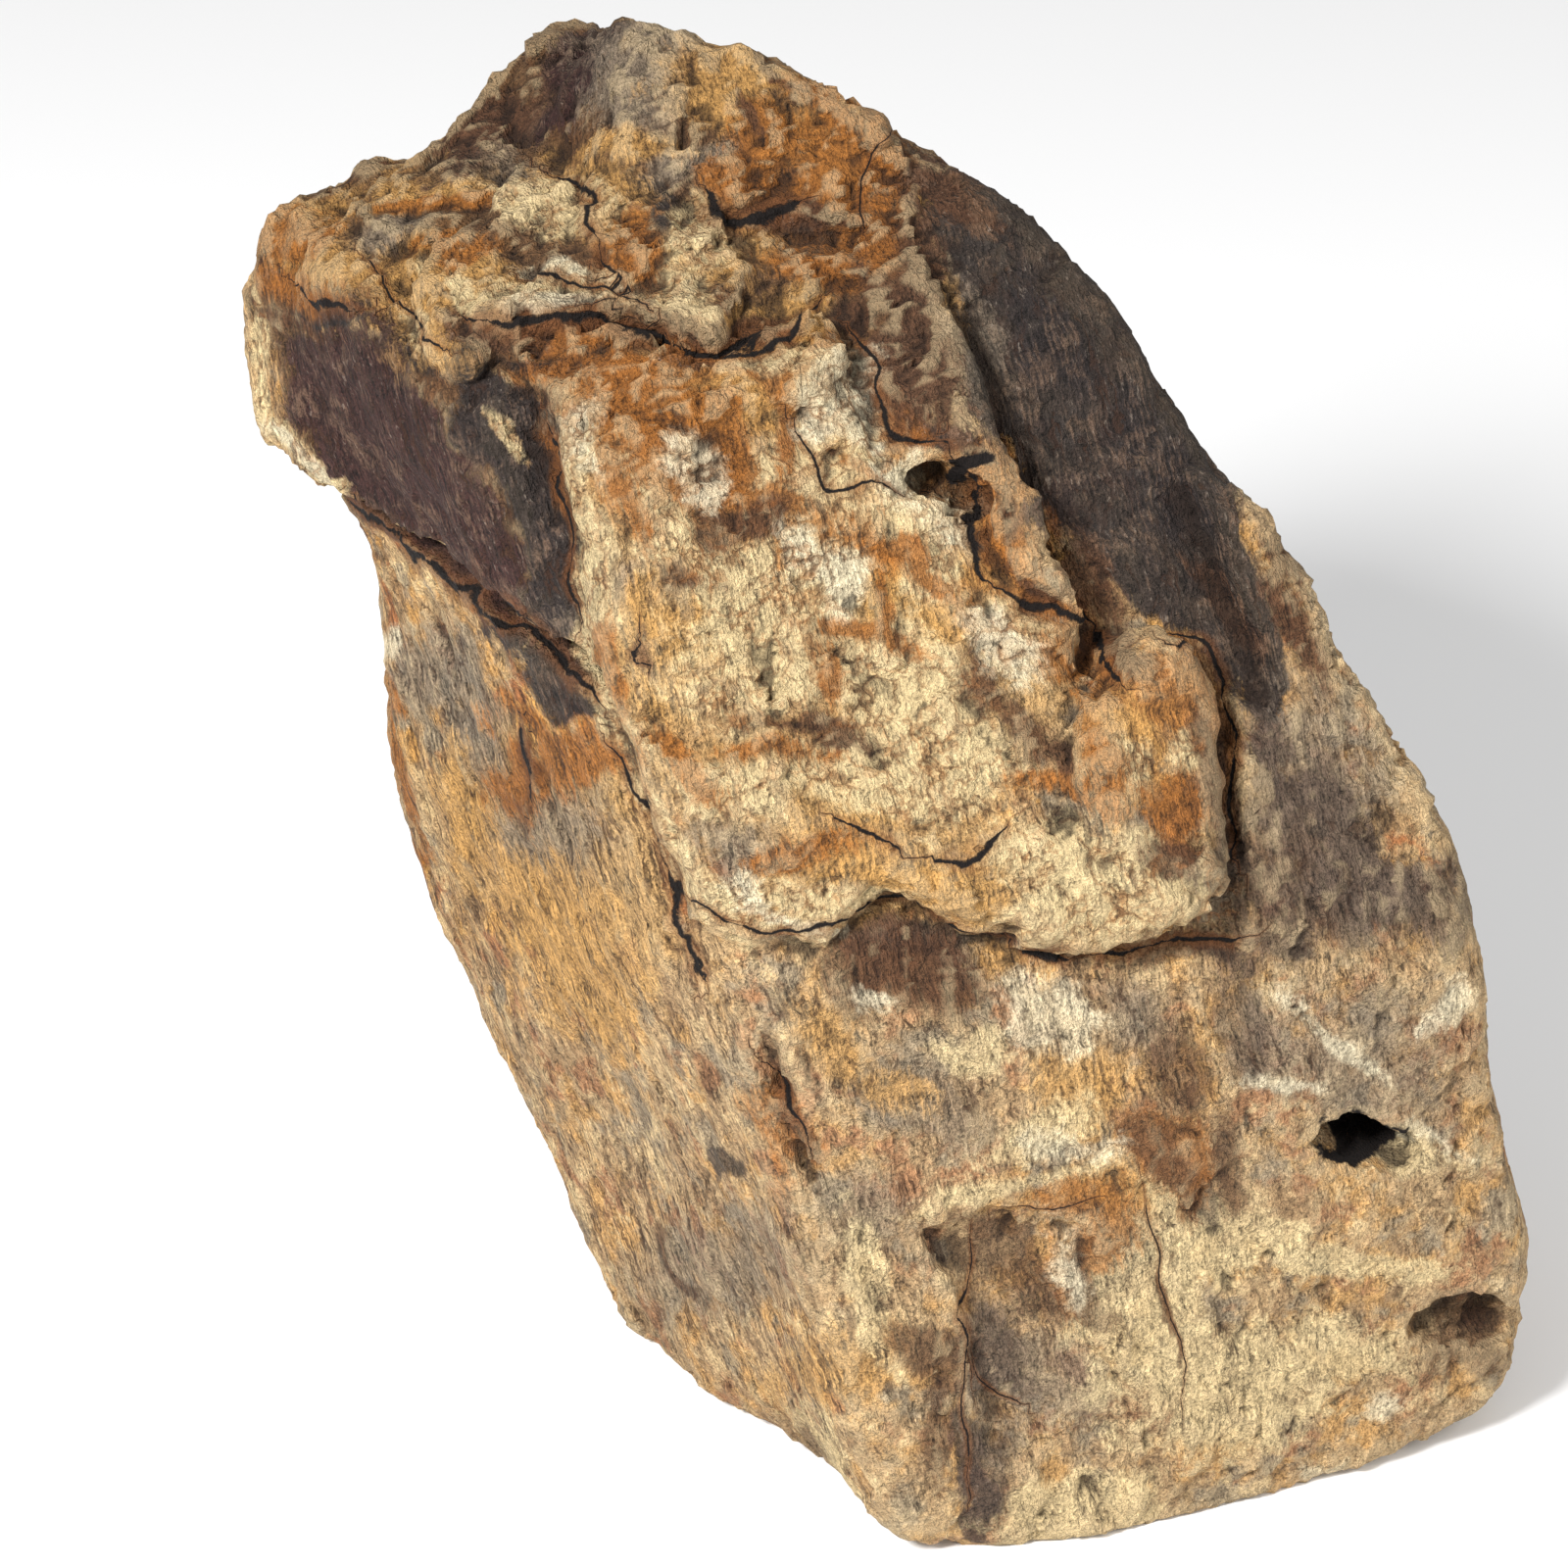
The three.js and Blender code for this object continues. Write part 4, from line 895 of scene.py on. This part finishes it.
def hollows_and_edges(points, tris, rounds):
    """How far each point lies below or above the mean of its neighbours, in mm along the
    normal, after so many rounds of averaging: below is positive."""
    pairs = np.concatenate([tris[:, [0, 1]], tris[:, [1, 2]], tris[:, [2, 0]]])
    count = np.bincount(pairs[:, 0], minlength=len(points)).astype(float)[:, None]
    smooth = points.copy()
    for _ in range(rounds):
        total = np.stack([
            np.bincount(pairs[:, 0], smooth[pairs[:, 1], n], len(points)) for n in range(3)], -1)
        smooth = 0.3 * smooth + 0.7 * total / count
    return np.einsum("ij,ij->i", smooth - points, vertex_normals(smooth, tris))


def fibrous_share(normals):
    """Where the grain shows as fibres: 1 where the surface runs along the grain and is
    steep, 0 where it cuts across the grain or lies flat."""
    along = 1 - np.abs(normals @ GRAIN_LINE)
    return ease(0.6, 0.95, along) * ease(0.75, 0.3, normals[:, 2])


# The two upper right faces of the body, which the dark parting runs on over.
DARK_FACES = [(137, 43, 122), (113, 64, 92)]


def coating(points):
    """Strength of the dark parting face past the outline: 1.3 - d / 9, with d how far a
    point lies from the nearer of its two faces, made ragged by noise. It fades out between
    165 and 120 mm up."""
    behind = np.full(len(points), 1e9)
    for heading, dip, reach in DARK_FACES:
        height = (points - BODY["centre"]) @ outward(heading, dip)
        behind = np.minimum(behind, np.abs(reach - height))
    ragged = 0.35 * noise(points / 19.0 + 90) + 0.2 * noise(points / 8.0 + 80)
    return 1.3 - behind / 9 + ragged - 1.6 * ease(165, 120, points[:, 2])


# How common each stain is where the sheet doesn't reach: on the sides, behind and below.
WILD = {
    "umber": 0.5, "honey": 0.55, "amber": 0.35, "ash": 0.5, "gold": 0.45, "dark_stain_and_shade": 0.3,
    "brown": 0.42, "rust": 0.46, "cream": 0.42, "white": 0.18, "maroon": 0.12, "slate": 0.0,
    "pit_shadow": -1.0,
}


def wild_stain(points, number, colour):
    """Strength of one colour past the sheet: swirls of noise drawn out along the grain."""
    swirl = noise(along_grain(points, 52, 28) + 13 * number)
    swirl = swirl + 0.5 * noise(along_grain(points, 22, 13) + 7 * number)
    away = WILD[colour] - 0.35 + 0.75 * swirl
    if colour == "slate":
        away = np.maximum(away, coating(points))
    return np.clip(away, -0.6, 1)


def dressed_stone(rough):
    """The finished stone: fine relief on the rough one, in metres in the frame, with the
    stains, hollows and fibrous parts kept as attributes of its points."""
    points, tris = mesh_arrays(rough.data)
    normals = vertex_normals(points, tris)
    underside = (points[:, 2] < 1.2) & (normals[:, 2] < -0.8)
    points[underside, 2] = 0
    sheet, facing = on_sheet(points, normals)
    height = fine_relief(points, normals, sheet) * ease(0.0, 3.0, points[:, 2])
    points = points + normals * height[:, None]
    points[:, 2] = np.maximum(points[:, 2], 0)
    normals = vertex_normals(points, tris)
    drift = 20 * noise(points / 18.0 + 20) + 12 * noise(points / 7.0 + 30)
    slide = 20 * noise(points / 18.0 + 40) + 12 * noise(points / 7.0 + 50)
    sheet = sheet + np.stack([drift, slide], -1)
    faces_viewer = ease(-0.35, -0.08, facing)
    values = {}
    for number, colour in enumerate(WILD):
        wild = wild_stain(points, number, colour)
        values[colour] = stain(sheet, colour) * faces_viewer + wild * (1 - faces_viewer)
    values["fibrous"] = fibrous_share(normals)
    values["depth"] = 1 - 0.16 * ease(900, 1040, sheet[:, 1]) * faces_viewer
    place, near = seam_place(sheet)
    values["seam"] = place * faces_viewer + 7 * (1 - faces_viewer)
    values["seam near"] = near * faces_viewer
    fine = hollows_and_edges(points, tris, 3)
    broad = hollows_and_edges(points, tris, 14)
    values["hollow"] = np.clip(0.5 + fine * 0.35 + broad * 0.26, 0, 1)
    thing = mesh_object("jasper_block", (points - BOX_MIDDLE) * MM, tris)
    for name, value in values.items():
        layer = thing.data.attributes.new(name, "FLOAT", "POINT")
        layer.data.foreach_set("value", value.astype(np.float32))
    return thing


stone = dressed_stone(rough)
bpy.data.objects.remove(rough)


# Material


STONE = bpy.data.materials.new("foliated stone")
STONE.use_nodes = True
NODES = STONE.node_tree


def ink(red, green, blue):
    """A colour given as 0 to 255 on a screen, as the linear values a shader wants:
    ((c + 0.055) / 1.055)^2.4 above 0.04045, c / 12.92 below."""
    c = np.array([red, green, blue]) / 255
    linear = np.where(c > 0.04045, ((c + 0.055) / 1.055) ** 2.4, c / 12.92)
    return (*linear.tolist(), 1.0)


class Wire:
    """An output of one of the stone's nodes. Arithmetic on it adds the nodes that do it."""

    def __init__(self, socket):
        self.socket = socket

    def __add__(self, other):
        return maths("ADD", self, other)

    def __sub__(self, other):
        return maths("SUBTRACT", self, other)

    def __rsub__(self, other):
        return maths("SUBTRACT", other, self)

    def __mul__(self, other):
        return maths("MULTIPLY", self, other)

    def __truediv__(self, other):
        return maths("DIVIDE", self, other)

    def __abs__(self):
        return maths("ABSOLUTE", self)


def add_node(kind, inputs, **settings):
    """A new node with its settings made and its inputs linked or set."""
    made = NODES.nodes.new(kind)
    for name, value in settings.items():
        setattr(made, name, value)
    for name, value in inputs.items():
        if isinstance(value, Wire):
            NODES.links.new(value.socket, made.inputs[name])
        else:
            made.inputs[name].default_value = value
    return made


def wire(kind, output, inputs, **settings):
    """One output of a new node."""
    return Wire(add_node(kind, inputs, **settings).outputs[output])


def maths(operation, first, second=0.0):
    """One step of arithmetic on numbers."""
    return wire("ShaderNodeMath", 0, {0: first, 1: second}, operation=operation)


def vector_maths(operation, output, first, second):
    """One step of arithmetic on places or colours."""
    return wire("ShaderNodeVectorMath", output, {0: first, 1: second}, operation=operation)


def blend(share, under, over):
    """Two colours mixed by a share from 0 to 1."""
    return wire("ShaderNodeMix", 2, {0: share, 6: under, 7: over}, data_type="RGBA")


def ease_between(value, low, high):
    """0 at low and 1 at high, with a smooth rise."""
    return wire("ShaderNodeMapRange", "Result",
                {"Value": value, "From Min": low, "From Max": high},
                interpolation_type="SMOOTHSTEP")


def near_zero(value, wide, narrow):
    """A line where a value crosses 0: 1 within narrow of it, 0 beyond wide."""
    return ease_between(abs(value), wide, narrow)


def cloud(place, detail, rough, output="Fac"):
    """Noise from 0 to 1 at a place."""
    return wire("ShaderNodeTexNoise", output, {
        "Vector": place, "Scale": 1.0, "Detail": detail, "Roughness": rough})


def dot(place, line):
    """The length of a place along a line."""
    return vector_maths("DOT_PRODUCT", "Value", place, tuple(line))


def scaled(place, factor):
    """A place or a colour times one factor."""
    return wire("ShaderNodeVectorMath", "Vector", {0: place, "Scale": factor},
                operation="SCALE")


def centred(colour):
    """A random colour less one half on each axis."""
    return vector_maths("ADD", "Vector", colour, (-0.5, -0.5, -0.5))


def shifted(place, drift, amount):
    """A place moved by noise: each axis by (drift - 0.5) times amount."""
    return vector_maths("ADD", "Vector", scaled(centred(drift), amount), place)


def fibres(place, length, width):
    """A place in the frame of the grain, divided by length along it and by width across."""
    return wire("ShaderNodeCombineXYZ", "Vector", {
        "X": dot(place, GRAIN_LINE / length), "Y": dot(place, ACROSS / width),
        "Z": dot(place, THROUGH / width)})


def kept(name):
    """A value kept at the points of the stone."""
    return wire("ShaderNodeAttribute", "Fac", {}, attribute_name=name)


def patch(name, ragged, amount, width):
    """The share of one stain: its strength roughened by noise, cut at one half."""
    strength = (ragged - 0.5) * amount + kept(name)
    return ease_between(strength, 0.5 - width, 0.5 + width)


def chips(place):
    """Flat chips: every cell leans its own way. The height at p is (p - c) . (tint - 0.5),
    with c the cell's own point and tint its random colour."""
    cell = add_node("ShaderNodeTexVoronoi", {"Vector": place, "Scale": 1.0}).outputs
    off = vector_maths("SUBTRACT", "Vector", place, Wire(cell["Position"]))
    return vector_maths("DOT_PRODUCT", "Value", off, centred(Wire(cell["Color"])))


def terraces(value, steps):
    """A noise cut into steps: the stepped height, and how near a place is to a riser."""
    raised = value * steps
    part = maths("FRACT", raised)
    level = (maths("FLOOR", raised) + ease_between(part, 0.4, 0.6)) / steps
    return level, 1.0 - ease_between(abs(part - 0.47), 0.01, 0.1)


class Patterns:
    """The noises, lines and shares that both the colour and the height are made of, on the
    stone's own coordinates in millimetres."""

    def __init__(self):
        self.mm = mm = scaled(wire("ShaderNodeTexCoord", "Object", {}), 1000.0)
        self.drift = drift = cloud(scaled(mm, 1 / 13), 4.0, 0.6, "Color")
        split = add_node("ShaderNodeSeparateColor", {"Color": drift}).outputs
        self.red, self.green, self.blue = (Wire(split[n]) for n in ("Red", "Green", "Blue"))
        bent = shifted(mm, drift, 10.0)
        self.band = cloud(fibres(bent, 55.0, 6.5), 3.0, 0.6)
        self.streak = cloud(fibres(shifted(mm, drift, 3.0), 11.0, 0.75), 3.0, 0.65)
        self.mottle = mottle = cloud(scaled(bent, 1 / 9), 6.0, 0.68)
        self.grit = cloud(fibres(shifted(mm, drift, 5.0), 2.8, 0.95), 3.0, 0.7)
        self.speck = cloud(scaled(mm, 1 / 0.55), 1.0, 0.5)
        self.chip = chips(fibres(shifted(mm, drift, 8.0), 6.5, 4.2))
        self.flake, self.riser = terraces(cloud(fibres(bent, 20.0, 10.0), 4.0, 0.6), 8.0)
        self.torn = self.streak * 0.35 + mottle * 0.65
        self.blotched = self.grit * 0.2 + mottle * 0.8
        self.fibrous = kept("fibrous")
        self.depth = kept("depth")
        self.parting = self.parting_lines(cloud(fibres(bent, 34.0, 4.2), 2.0, 0.5))
        self.pale = (patch("cream", self.blotched, 2.0, 0.35)
                     * ease_between(self.depth, 0.86, 0.97))
        self.dark = maths("MAXIMUM", patch("slate", self.torn, 2.0, 0.3),
                          patch("maroon", self.torn, 2.0, 0.3))
        self.web = wire("ShaderNodeTexVoronoi", "Distance", {
            "Vector": scaled(shifted(mm, drift, 16.0), 1 / 6.4), "Scale": 1.0},
            feature="DISTANCE_TO_EDGE")
        self.lines = ((1.0 - ease_between(self.web, 0.015, 0.07))
                      * (self.pale * ease_between(mottle, 0.6, 0.45)))
        self.across = abs(kept("seam") + (mottle - 0.5) * 5.0)
        self.near_seam = kept("seam near")
        open_here = ease_between(self.green, 0.36, 0.48) * 0.55 + 0.14
        self.seam = ease_between(self.across / open_here, 1.3, 0.6) * self.near_seam

    def parting_lines(self, foliation):
        """Fine dark lines along the grain, fewer where the stone is not fibrous."""
        present = (self.fibrous * 0.8 + 0.2) * ease_between(self.mottle, 0.56, 0.44)
        return near_zero(foliation - 0.5, 0.04, 0.012) * present


# The stains from the lowest layer up: colour, how ragged the edge is, half the width of the
# edge, and how much of what lies below is covered.
LAYERS = {
    "umber": (ink(98, 68, 43), 3.0, 0.35, 0.92),
    "honey": (ink(188, 150, 98), 3.5, 0.4, 0.8),
    "amber": (ink(160, 104, 50), 4.0, 0.35, 0.85),
    "maroon": (ink(60, 37, 35), 3.5, 0.2, 0.95),
    "slate": (ink(50, 43, 41), 2.6, 0.18, 0.96),
    "ash": (ink(130, 116, 98), 4.0, 0.5, 0.8),
    "gold": (ink(188, 142, 80), 4.0, 0.5, 0.85),
    "cream": (ink(213, 190, 143), 2.8, 0.3, 0.9),
    # Mostly painted shade, partly a dark grey-brown stain.
    "dark_stain_and_shade": (ink(84, 68, 58), 4.0, 0.4, 0.85),
    "rust": (ink(150, 92, 36), 4.0, 0.4, 0.9),
    "brown": (ink(88, 58, 38), 4.0, 0.35, 0.92),
    "white": (ink(222, 210, 178), 4.0, 0.45, 0.75),
}


def ground_and_stains(p):
    """Two tans in bands along the grain, four tints over them, and the stains on top."""
    colour = blend(ease_between(p.band, 0.36, 0.64), ink(158, 122, 82), ink(194, 160, 114))
    tints = [
        (p.red, 0.5, 0.62, ink(204, 152, 84)), (p.green, 0.52, 0.64, ink(150, 132, 106)),
        (p.blue, 0.54, 0.64, ink(160, 104, 62)), (p.mottle, 0.5, 0.66, ink(216, 186, 136)),
    ]
    for value, low, high, hue in tints:
        colour = blend(ease_between(value, low, high), colour, hue)
    colour = blend((1.0 - p.depth) * 1.6, colour, ink(182, 160, 128))
    for name, (hue, amount, width, most) in LAYERS.items():
        ragged = p.blotched if name in ("cream", "white") else p.torn
        share = patch(name, ragged, amount, width) * most * p.depth
        colour = blend(share, colour, hue)
    return colour


def crust_and_flecks(p, colour):
    """Rusty veins and a web of cracks on the pale crust, wisps and grains on the dark."""
    halo = (1.0 - ease_between(p.web, 0.0, 0.22)) * p.pale * ease_between(p.mottle, 0.58, 0.42)
    colour = blend(near_zero(p.blue - 0.5, 0.03, 0.006) * p.pale * 0.45, colour, ink(146, 90, 44))
    colour = blend(halo * 0.4, colour, ink(176, 118, 58))
    colour = blend(p.lines * 0.55, colour, ink(108, 68, 38))
    wisps = ease_between(p.torn, 0.5, 0.62) * p.dark
    colour = blend(wisps * 0.55, colour, ink(112, 88, 70))
    sparkle = ease_between(p.grit, 0.6, 0.7) * p.dark
    return blend(sparkle * 0.4, colour, ink(140, 126, 112))


def grained(p, colour):
    """Lighter and darker by the grain, and a little darker towards the top. The grain noises are
    the same ones that raise the fine relief, so raised parts come out lighter and low parts darker:
    partly the stone's grain, partly painted shade. The risers of the flakes get a painted shadow
    line.
    """
    grain_and_relief_shade = (p.streak - 0.5) * (p.fibrous * 0.95 + 0.3) + (p.grit - 0.5) * 0.6
    grain_and_relief_shade = grain_and_relief_shade + (p.speck - 0.5) * 0.45 + (p.mottle - 0.5) * 0.25
    # Painted shadow along the risers of the flakes, and lighter where each chip stands higher:
    # painted shading of the fine relief.
    grain_and_relief_shade = (grain_and_relief_shade + p.riser * -0.09 + p.chip * 0.06) * (p.pale * -0.3 + 1.0)
    grain_and_shade_gain = wire("ShaderNodeClamp", 0, {"Value": grain_and_relief_shade * 2.6 + 0.9, "Min": 0.2, "Max": 1.35})
    # Darker towards the top: the colour falls by up to 14 percent from 195 to 235 mm up.
    upper_darkening = ease_between(dot(p.mm, (0, 0, 1)), 195.0, 235.0)
    return scaled(colour, grain_and_shade_gain * (upper_darkening * -0.14 + 1.0))


def cracks_with_painted_light(p, colour):
    """Partings, painted shade in the hollows, a painted highlight on the edges, the seams with
    their stained sides, and near-black painted shadow in the seams and pits.
    """
    colour = blend(p.parting * 0.7, colour, ink(62, 38, 24))
    hollow = kept("hollow")
    # Painted shade: darker the deeper a point lies in a hollow.
    colour = blend(ease_between(hollow, 0.58, 0.95) * 0.75, colour, ink(34, 22, 15))
    # Painted highlight: lighter on sharp edges, less so on the dark parts.
    edge_highlight = ease_between(hollow, 0.46, 0.15) * (p.dark * -0.24 + 0.26)
    colour = blend(edge_highlight, colour, ink(222, 196, 152))
    sides = ease_between(p.across, 4.5, 1.0) * p.near_seam
    colour = blend(sides * 0.45, colour, ink(120, 72, 34))
    # Painted shadow: the pits and the seams filled with near-black.
    pit_shadow = patch("pit_shadow", p.mottle, 2.0, 0.12)
    return blend(maths("MAXIMUM", pit_shadow, p.seam), colour, ink(22, 15, 12))


def fine_height(p):
    """The height of the finest relief in millimetres: seams, crackle and partings sink, and
    the fibres, flakes, lumps, grit and chips stand out."""
    height = p.seam * -1.2 + p.lines * -0.3 + p.parting * -0.5
    height = height + p.streak * (p.fibrous * 0.9 + 0.25) * 1.8
    for part, tall in [
            (p.flake, 3.8), (p.mottle, 1.8), (p.grit, 2.0), (p.speck, 0.8), (p.chip, 2.6)]:
        height = height + part * tall
    return height


def stone_material():
    """The foliated stone's colour, finest relief and dull surface."""
    p = Patterns()
    colour = crust_and_flecks(p, ground_and_stains(p))
    colour = cracks_with_painted_light(p, grained(p, colour))
    bump = wire("ShaderNodeBump", "Normal", {
        "Strength": 1.0, "Distance": MM, "Height": fine_height(p)})
    shader = NODES.nodes["Principled BSDF"].inputs
    NODES.links.new(colour.socket, shader["Base Color"])
    NODES.links.new(bump.socket, shader["Normal"])
    shader["Roughness"].default_value = 0.85
    shader["Specular IOR Level"].default_value = 0.25
    return STONE


# The floor, the light and the camera


def plain_material(name, colour, roughness):
    """One even colour."""
    material = bpy.data.materials.new(name)
    material.use_nodes = True
    shader = material.node_tree.nodes["Principled BSDF"]
    shader.inputs["Base Color"].default_value = colour
    shader.inputs["Roughness"].default_value = roughness
    return material


def floor_sheet():
    """A level square the stone lies on."""
    half = 6000.0
    points = np.array([(-half, -half, 0), (half, -half, 0), (half, half, 0), (-half, half, 0)]) * MM
    floor = mesh_object("pale_floor", points, np.array([(0, 1, 2), (0, 2, 3)]))
    floor.data.materials.append(plain_material("pale paper", ink(250, 250, 250), 0.9))


def soft_light(name, place, aim, width, watts):
    """A square lamp turned to look at a point, both in millimetres."""
    lamp = bpy.data.lights.new(name, "AREA")
    lamp.shape = "SQUARE"
    lamp.size = width * MM
    lamp.energy = watts
    thing = bpy.data.objects.new(name, lamp)
    thing.location = np.array(place) * MM
    way = Vector((np.array(aim) - np.array(place)).tolist())
    thing.rotation_euler = way.to_track_quat("-Z", "Y").to_euler()
    bpy.context.scene.collection.objects.link(thing)


def pale_world(strength):
    """An even white sky."""
    world = bpy.data.worlds.new("white sky")
    world.use_nodes = True
    sky = world.node_tree.nodes["Background"]
    sky.inputs["Color"].default_value = (1, 1, 1, 1)
    sky.inputs["Strength"].default_value = strength
    bpy.context.scene.world = world


def front_camera():
    """The camera at the eye, looking at the middle of the sheet."""
    data = bpy.data.cameras.new("front")
    data.lens = 135
    data.sensor_width = 36
    data.clip_start = 0.01
    data.clip_end = 50
    camera = bpy.data.objects.new("front", data)
    camera.location = (EYE - BOX_MIDDLE) * MM
    way = Vector((SHEET_MIDDLE - EYE).tolist())
    camera.rotation_euler = way.to_track_quat("-Z", "Y").to_euler()
    bpy.context.scene.collection.objects.link(camera)
    bpy.context.scene.camera = camera


stone.data.materials.append(stone_material())
stone.data.shade_smooth()
stone.data.set_sharp_from_angle(angle=np.radians(38))
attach(stone, "root")
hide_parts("stone")
floor_sheet()
soft_light("window", (-680, -950, 1060), aim=(0, 0, 100), width=300, watts=34)
soft_light("far side", (900, -500, 700), aim=(0, 0, 100), width=900, watts=6)
pale_world(strength=0.48)
bpy.context.scene.view_settings.view_transform = "Standard"
front_camera()
